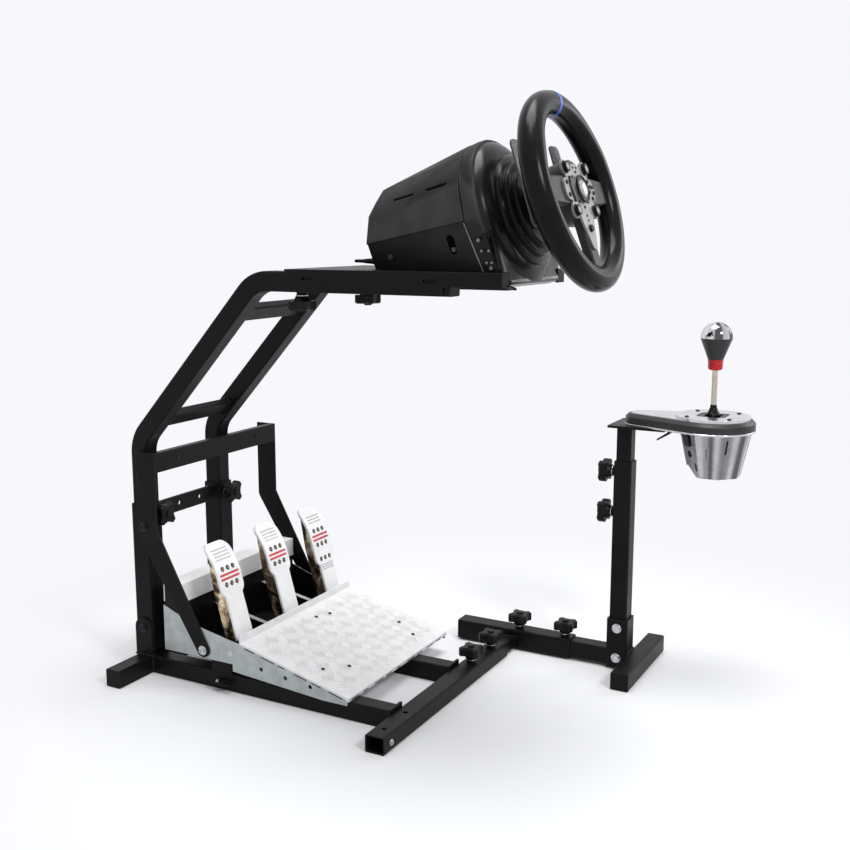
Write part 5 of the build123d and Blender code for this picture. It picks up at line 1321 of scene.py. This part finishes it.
class STAND_OT_heel(bpy.types.Operator):
    """Tread bars, painted shade dashes along the edges and screws of the heel plate"""
    bl_idname = "stand.heel"
    bl_label = "Heel plate"

    def execute(self, context):
        low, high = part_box("heel_plate")
        plate = surface_of("heel_plate")
        self.tread(context.scene.stand_pedals, low, high, plate)
        screws = []
        for x, y in HEEL_SCREWS:
            hit, normal = plate.ray_cast(mm(x, y, 200.0), DOWN)[:2]
            screws.append((hit + normal * HEEL_RISE, normal, HEEL_RADIUS))
        bolts("heel_screws", screws, "dark_bolt", *ON_BASE, sides=16, washer=0.12, head=0.8, height=0.2,
              recess=0.15)
        self.slots(low)
        return {"FINISHED"}

    def tread(self, look, low, high, plate):
        """Groups of bars over the whole plate, each turned across its neighbours."""
        pitch = look.group_pitch
        across = int((high.x - low.x - 0.006) / pitch)
        along = int(TREAD_LENGTH / pitch)
        start = (low.x + high.x - (across - 1) * pitch) / 2
        first = TREAD_MIDDLE + (along - 1) * pitch / 2
        places = []
        for column in range(across):
            for row in range(along):
                spot = Vector((start + column * pitch, first - row * pitch, 0.2))
                hit, normal = plate.ray_cast(spot, DOWN)[:2]
                if hit is None or normal.z < 0.5:
                    raise RuntimeError("tread group off the plate")
                places.append((hit, normal, math.radians(45.0 if (column + row) % 2 else -45.0)))
        slope = math.atan2(-normal.y, normal.z)
        values = {"Bar Length": look.bar_length, "Bar Width": look.bar_width,
                  "Bar Height": look.bar_height * 2, "Bar Step": look.bar_step, "Bars": TREAD_BARS,
                  "Slope": (slope, 0.0, 0.0), "Finish": kept("tread_bar")}
        grow("heel_tread", point_mesh(places), tree_kept(tread_tree), values, "base")

    def slots(self, low):
        """Painted shade: dark dashes along the left edge of the plate, where it meets the side sheet, and
        along its front fold.
        """
        bars = []
        for index, length in enumerate(SIDE_SHADE_DASHES):
            start = SIDE_START + index * SIDE_STEP
            spots = [EDGE_REAR.lerp(EDGE_FRONT, start + step * length / SIDE_LENGTH) for step in (0.0, 1.0)]
            bars.append(self.dash(*spots, LEFT, SHADE_DASH_WIDTH))
        for index, length in enumerate(FRONT_SHADE_DASHES):
            x = FRONT_START + FRONT_STEP * index
            spots = [mm(end, low.y * 1000.0, FRONT_HEIGHT) for end in (x, x + length)]
            bars.append(self.dash(*spots, BACK, SHADE_DASH_WIDTH))
        piece("edge_slots", joined(bars), "dark_bolt", *ON_BASE)

    def dash(self, first, last, out, width):
        """Thin bar from one point to another, seated in the surface that faces out."""
        along = (last - first).normalized()
        rise = along.cross(out).normalized() * width / 2000.0
        verts = []
        for place in (first, last):
            for depth in SHADE_DASH_DEPTHS:
                verts += [place + out * depth - rise, place + out * depth + rise]
        faces = [(0, 1, 3, 2), (4, 6, 7, 5), (0, 2, 6, 4), (1, 5, 7, 3), (0, 4, 5, 1), (2, 3, 7, 6)]
        return verts, faces


# Shifter: circle of the gate's screws, top of the gate and top of the rod
SCREW_RING, GATE_TOP, ROD_TOP = 47.0, 441.0, 529.6


class STAND_OT_shifter(bpy.types.Operator):
    """Housing, deck, gate and lever of the shifter"""
    bl_idname = "stand.shifter"
    bl_label = "Shifter"

    def execute(self, context):
        paint("shell_cast", "shifter_housing")
        paint("deck_moulding", "shifter_deck")
        paint("gate_steel", "shifter_gate", "lever_gimbal")
        paint("knob_two_tone", "lever_knob")
        self.collar()
        self.lever(context.scene.stand_shifter.rod_radius * 1000.0)
        self.trim()
        self.side_plates()
        return {"FINISHED"}

    def collar(self):
        """Red lift collar with a waist and two fine grooves."""
        profile = [(0.0, 513.4), (9.4, 513.4), (11.2, 515.2), (11.6, 517.6), (11.2, 518.2), (11.6, 518.8),
                   (11.7, 523.6), (11.3, 524.2), (11.7, 524.8), (12.3, 529.6), (11.6, 530.6), (0.0, 530.6)]
        piece("lever_collar", turned(shifter_point(0.0, 0.0, 0.0), UP, profile), "collar_red", *ON_LEVER)

    def lever(self, radius):
        """Polished rod with its cross pin, and the small rubber boot over the gate."""
        foot = shifter_point(0.0, 0.0, 0.0)
        rod = [(0.0, LEVER_PIVOT), (radius, LEVER_PIVOT), (radius, ROD_TOP), (0.0, ROD_TOP)]
        shaft = turned(foot, UP, rod)
        profile = [(0.0, -11.6), (2.9, -11.6), (2.9, -5.4), (6.4, -5.4), (6.4, 5.4), (2.9, 5.4), (2.9, 11.6),
                   (0.0, 11.6)]
        pin = turned(shifter_point(0.0, 0.0, LEVER_PIVOT), RIGHT, profile, 24)
        made = piece("lever_shaft", carved(shaft, 35.0, ("UNION", pin)), "lever_rod", *ON_LEVER)
        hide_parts("gear_lever")
        profile = [(0.0, 443.4), (9.5, 443.4), (9.7, 444.6), (8.1, 446.2), (8.4, 447.4), (6.6, 449.6),
                   (6.9, 450.6), (5.5, 453.0), (5.0, 458.0), (0.0, 458.0)]
        piece("lever_boot", turned(foot, UP, profile), "black_moulding", "gear_lever", "black_plastic")

    def side_plates(self):
        """Connector block, lower insert and slot in the left flank of the housing."""
        small = [(-7.0, -10.0), (7.0, -10.0), (8.0, -9.0), (8.0, 9.0), (7.0, 10.0), (-7.0, 10.0),
                 (-8.0, 9.0), (-8.0, -9.0)]
        for name, y, z, outline, low, high in (
                ("housing_socket", -797.0, 404.0, small, -6.0, 2.4),
                ("housing_insert", -814.0, 362.0, upright_slot(13.0, 5.0), -2.0, 0.4),
                ("housing_slot", -861.0, 398.0, upright_slot(24.0, 3.2), -2.0, 0.3)):
            plate = seat_on("shifter_housing", mm(100.0, y, z), RIGHT, outline, low, high)
            piece(name, plate, "black_moulding", *ON_HEAD)

    def trim(self):
        """Bright line under the deck, screws of the gate and the dark insert in its window."""
        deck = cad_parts["shifter_deck"].data
        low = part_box("shifter_deck")[0].z
        flat = [vert.co.to_2d() for vert in deck.vertices if vert.co.z < low + 0.0005]
        hull = [flat[index] for index in convex_hull_2d(flat)]
        path = []
        for index, place in enumerate(hull):
            before, after = hull[index - 1], hull[(index + 1) % len(hull)]
            along = (after - before).normalized()
            path.append((Vector((place.x, place.y, low)), Vector((along.y, -along.x, 0.0)), UP))
        section = [(-2.0, -0.6), (0.7, -0.6), (1.1, 0.2), (1.0, 1.6), (0.4, 2.2), (-2.0, 2.2)]
        piece("deck_line", swept(path, section, closed=True), "gate_steel", "shifter_head", "polished_metal")
        spots = ring_spots(SCREW_RING, (45.0, 135.0, 225.0, 315.0))
        screws = [(shifter_point(x, y, GATE_TOP), UP, SCREW_RADIUS) for x, y in spots]
        bolts("gate_screws", screws, "dark_bolt", "shifter_head", "dark_metal", sides=16, washer=0.1,
              head=0.86, height=0.3, recess=0.2)
        rows = []
        for x, y, height in ((22.7, 22.7, 437.0), (22.7, 22.7, 440.0), (14.0, 13.0, 440.0),
                             (14.0, 13.0, 437.0)):
            rows.append([shifter_point(*corner, height) for corner in oblong(-x, -y, x, y)])
        piece("gate_insert", skin(rows, closed=True), "black_moulding", *ON_HEAD)


FLOOR_HALF = 9
FILM_WIDTH = 36.0


class STAND_OT_stage(bpy.types.Operator):
    """Pale floor, soft lamps and the camera"""
    bl_idname = "stand.stage"
    bl_label = "Stage"

    def execute(self, context):
        look = context.scene.stand_stage
        for spare in ("Camera", "Light", "Cube"):
            if spare in bpy.data.objects:
                bpy.data.objects.remove(bpy.data.objects[spare])
        mesh = bpy.data.meshes.new("floor")
        corners = oblong(-FLOOR_HALF, -FLOOR_HALF, FLOOR_HALF, FLOOR_HALF)
        mesh.from_pydata([(x, y, 0) for x, y in corners], [], [(0, 1, 2, 3)])
        floor = bpy.data.objects.new("floor", mesh)
        context.collection.objects.link(floor)
        mesh.materials.append(self.floor_finish(look))
        lamp("key", look.key, (-1.0, -2.6, 2.25), (0.0, -0.5, 0.45), 0.6)
        lamp("top", look.key * 1.6, (0.2, -0.5, 2.9), (0.0, -0.4, 0.3), 1.4)
        lamp("side", look.key * 0.25, (2.0, -1.9, 1.4), (0.2, -0.6, 0.4), 0.9)
        eye = bpy.data.cameras.new("photo_camera")
        eye.sensor_fit = "HORIZONTAL"
        eye.sensor_width = FILM_WIDTH
        eye.lens = look.lens
        camera = bpy.data.objects.new("photo_camera", eye)
        context.collection.objects.link(camera)
        camera.location = look.eye
        camera.rotation_euler = Vector(look.look).to_track_quat("-Z", "Y").to_euler()
        context.scene.camera = camera
        context.scene.view_settings.view_transform = "Standard"
        self.backdrop(context.scene, look)
        return {"FINISHED"}

    def seen(self, tree):
        """One for the eye and for mirrors and glass, nothing for soft light."""
        path = add(tree, "ShaderNodeLightPath").outputs
        first = maths(tree, "MAXIMUM", path["Is Camera Ray"], path["Is Glossy Ray"])
        return maths(tree, "MAXIMUM", first, path["Is Transmission Ray"])

    def floor_finish(self, look):
        """Pale floor that keeps the shadow near the stand and turns into the backdrop further out."""
        made = bpy.data.materials.new("studio_floor")
        made.use_nodes = True
        tree = made.node_tree
        shader = tree.nodes["Principled BSDF"]
        shader.inputs["Base Color"].default_value = (*look.floor, 1.0)
        shader.inputs["Roughness"].default_value = 0.8
        shader.inputs["Specular IOR Level"].default_value = 0.1
        white = add(tree, "ShaderNodeEmission", {"Color": (*look.white, 1.0), "Strength": 1.0})
        place = add(tree, "ShaderNodeTexCoord").outputs["Object"]
        shift = add(tree, "ShaderNodeVectorMath", {0: place, 1: (0.05, -0.45, 0.0)}, operation="DISTANCE")
        far = add(tree, "ShaderNodeMapRange", {"Value": shift.outputs["Value"], "From Min": 0.3,
                                               "From Max": 1.1}, interpolation_type="SMOOTHSTEP")
        share = maths(tree, "MULTIPLY", far.outputs["Result"], self.seen(tree))
        both = add(tree, "ShaderNodeMixShader", {0: share, 1: shader.outputs[0], 2: white.outputs[0]})
        tree.links.new(both.outputs[0], tree.nodes["Material Output"].inputs["Surface"])
        return made

    def backdrop(self, scene, look):
        """World that shows white to the eye and to mirrors, and lights the stand softly."""
        world = bpy.data.worlds.new("studio")
        scene.world = world
        world.use_nodes = True
        tree = world.node_tree
        tree.nodes.clear()
        white = add(tree, "ShaderNodeBackground", {"Color": (*look.white, 1.0), "Strength": 1.0})
        soft = add(tree, "ShaderNodeBackground", {"Color": (*look.floor, 1.0), "Strength": 0.5})
        both = add(tree, "ShaderNodeMixShader", {0: self.seen(tree), 1: soft.outputs[0],
                                                 2: white.outputs[0]})
        out = add(tree, "ShaderNodeOutputWorld")
        tree.links.new(both.outputs[0], out.inputs["Surface"])


def lamp(name, power, place, target, width):
    """Large square lamp that faces a point."""
    data = bpy.data.lights.new(name, "AREA")
    data.energy = power
    data.size = width
    made = bpy.data.objects.new(name, data)
    bpy.context.collection.objects.link(made)
    made.location = place
    made.rotation_euler = (Vector(target) - Vector(place)).to_track_quat("-Z", "Y").to_euler()


STEPS = (STAND_OT_frame, STAND_OT_bolts, STAND_OT_welds, STAND_OT_wire, STAND_OT_wheel_base, STAND_OT_rim,
         STAND_OT_hub, STAND_OT_pedals, STAND_OT_heel, STAND_OT_shifter, STAND_OT_stage)
SETTINGS = {"stand_frame": StandFrameSettings, "stand_wheel": StandWheelSettings,
            "stand_pedals": StandPedalSettings, "stand_shifter": StandShifterSettings,
            "stand_stage": StandStageSettings}


class STAND_PT_panel(bpy.types.Panel):
    """Steps that dress the stand"""
    bl_label = "Wheel Stand"
    bl_idname = "STAND_PT_panel"
    bl_space_type = "VIEW_3D"
    bl_region_type = "UI"
    bl_category = "Wheel Stand"

    def draw(self, context):
        for step in STEPS:
            self.layout.operator(step.bl_idname)


def register():
    """Add the settings, the steps and the panel."""
    for name, group in SETTINGS.items():
        bpy.utils.register_class(group)
        setattr(bpy.types.Scene, name, PointerProperty(type=group))
    for step in (*STEPS, STAND_PT_panel):
        bpy.utils.register_class(step)


def unregister():
    """Take the panel, the steps and the settings away again."""
    for step in (STAND_PT_panel, *reversed(STEPS)):
        bpy.utils.unregister_class(step)
    for name, group in SETTINGS.items():
        delattr(bpy.types.Scene, name)
        bpy.utils.unregister_class(group)


def main():
    """Dress the stand step by step."""
    register()
    bpy.ops.stand.frame()
    bpy.ops.stand.bolts()
    bpy.ops.stand.welds()
    bpy.ops.stand.wire()
    bpy.ops.stand.wheel_base()
    bpy.ops.stand.rim()
    bpy.ops.stand.hub()
    bpy.ops.stand.pedals()
    bpy.ops.stand.heel()
    bpy.ops.stand.shifter()
    bpy.ops.stand.stage()


if __name__ == "__main__":
    main()
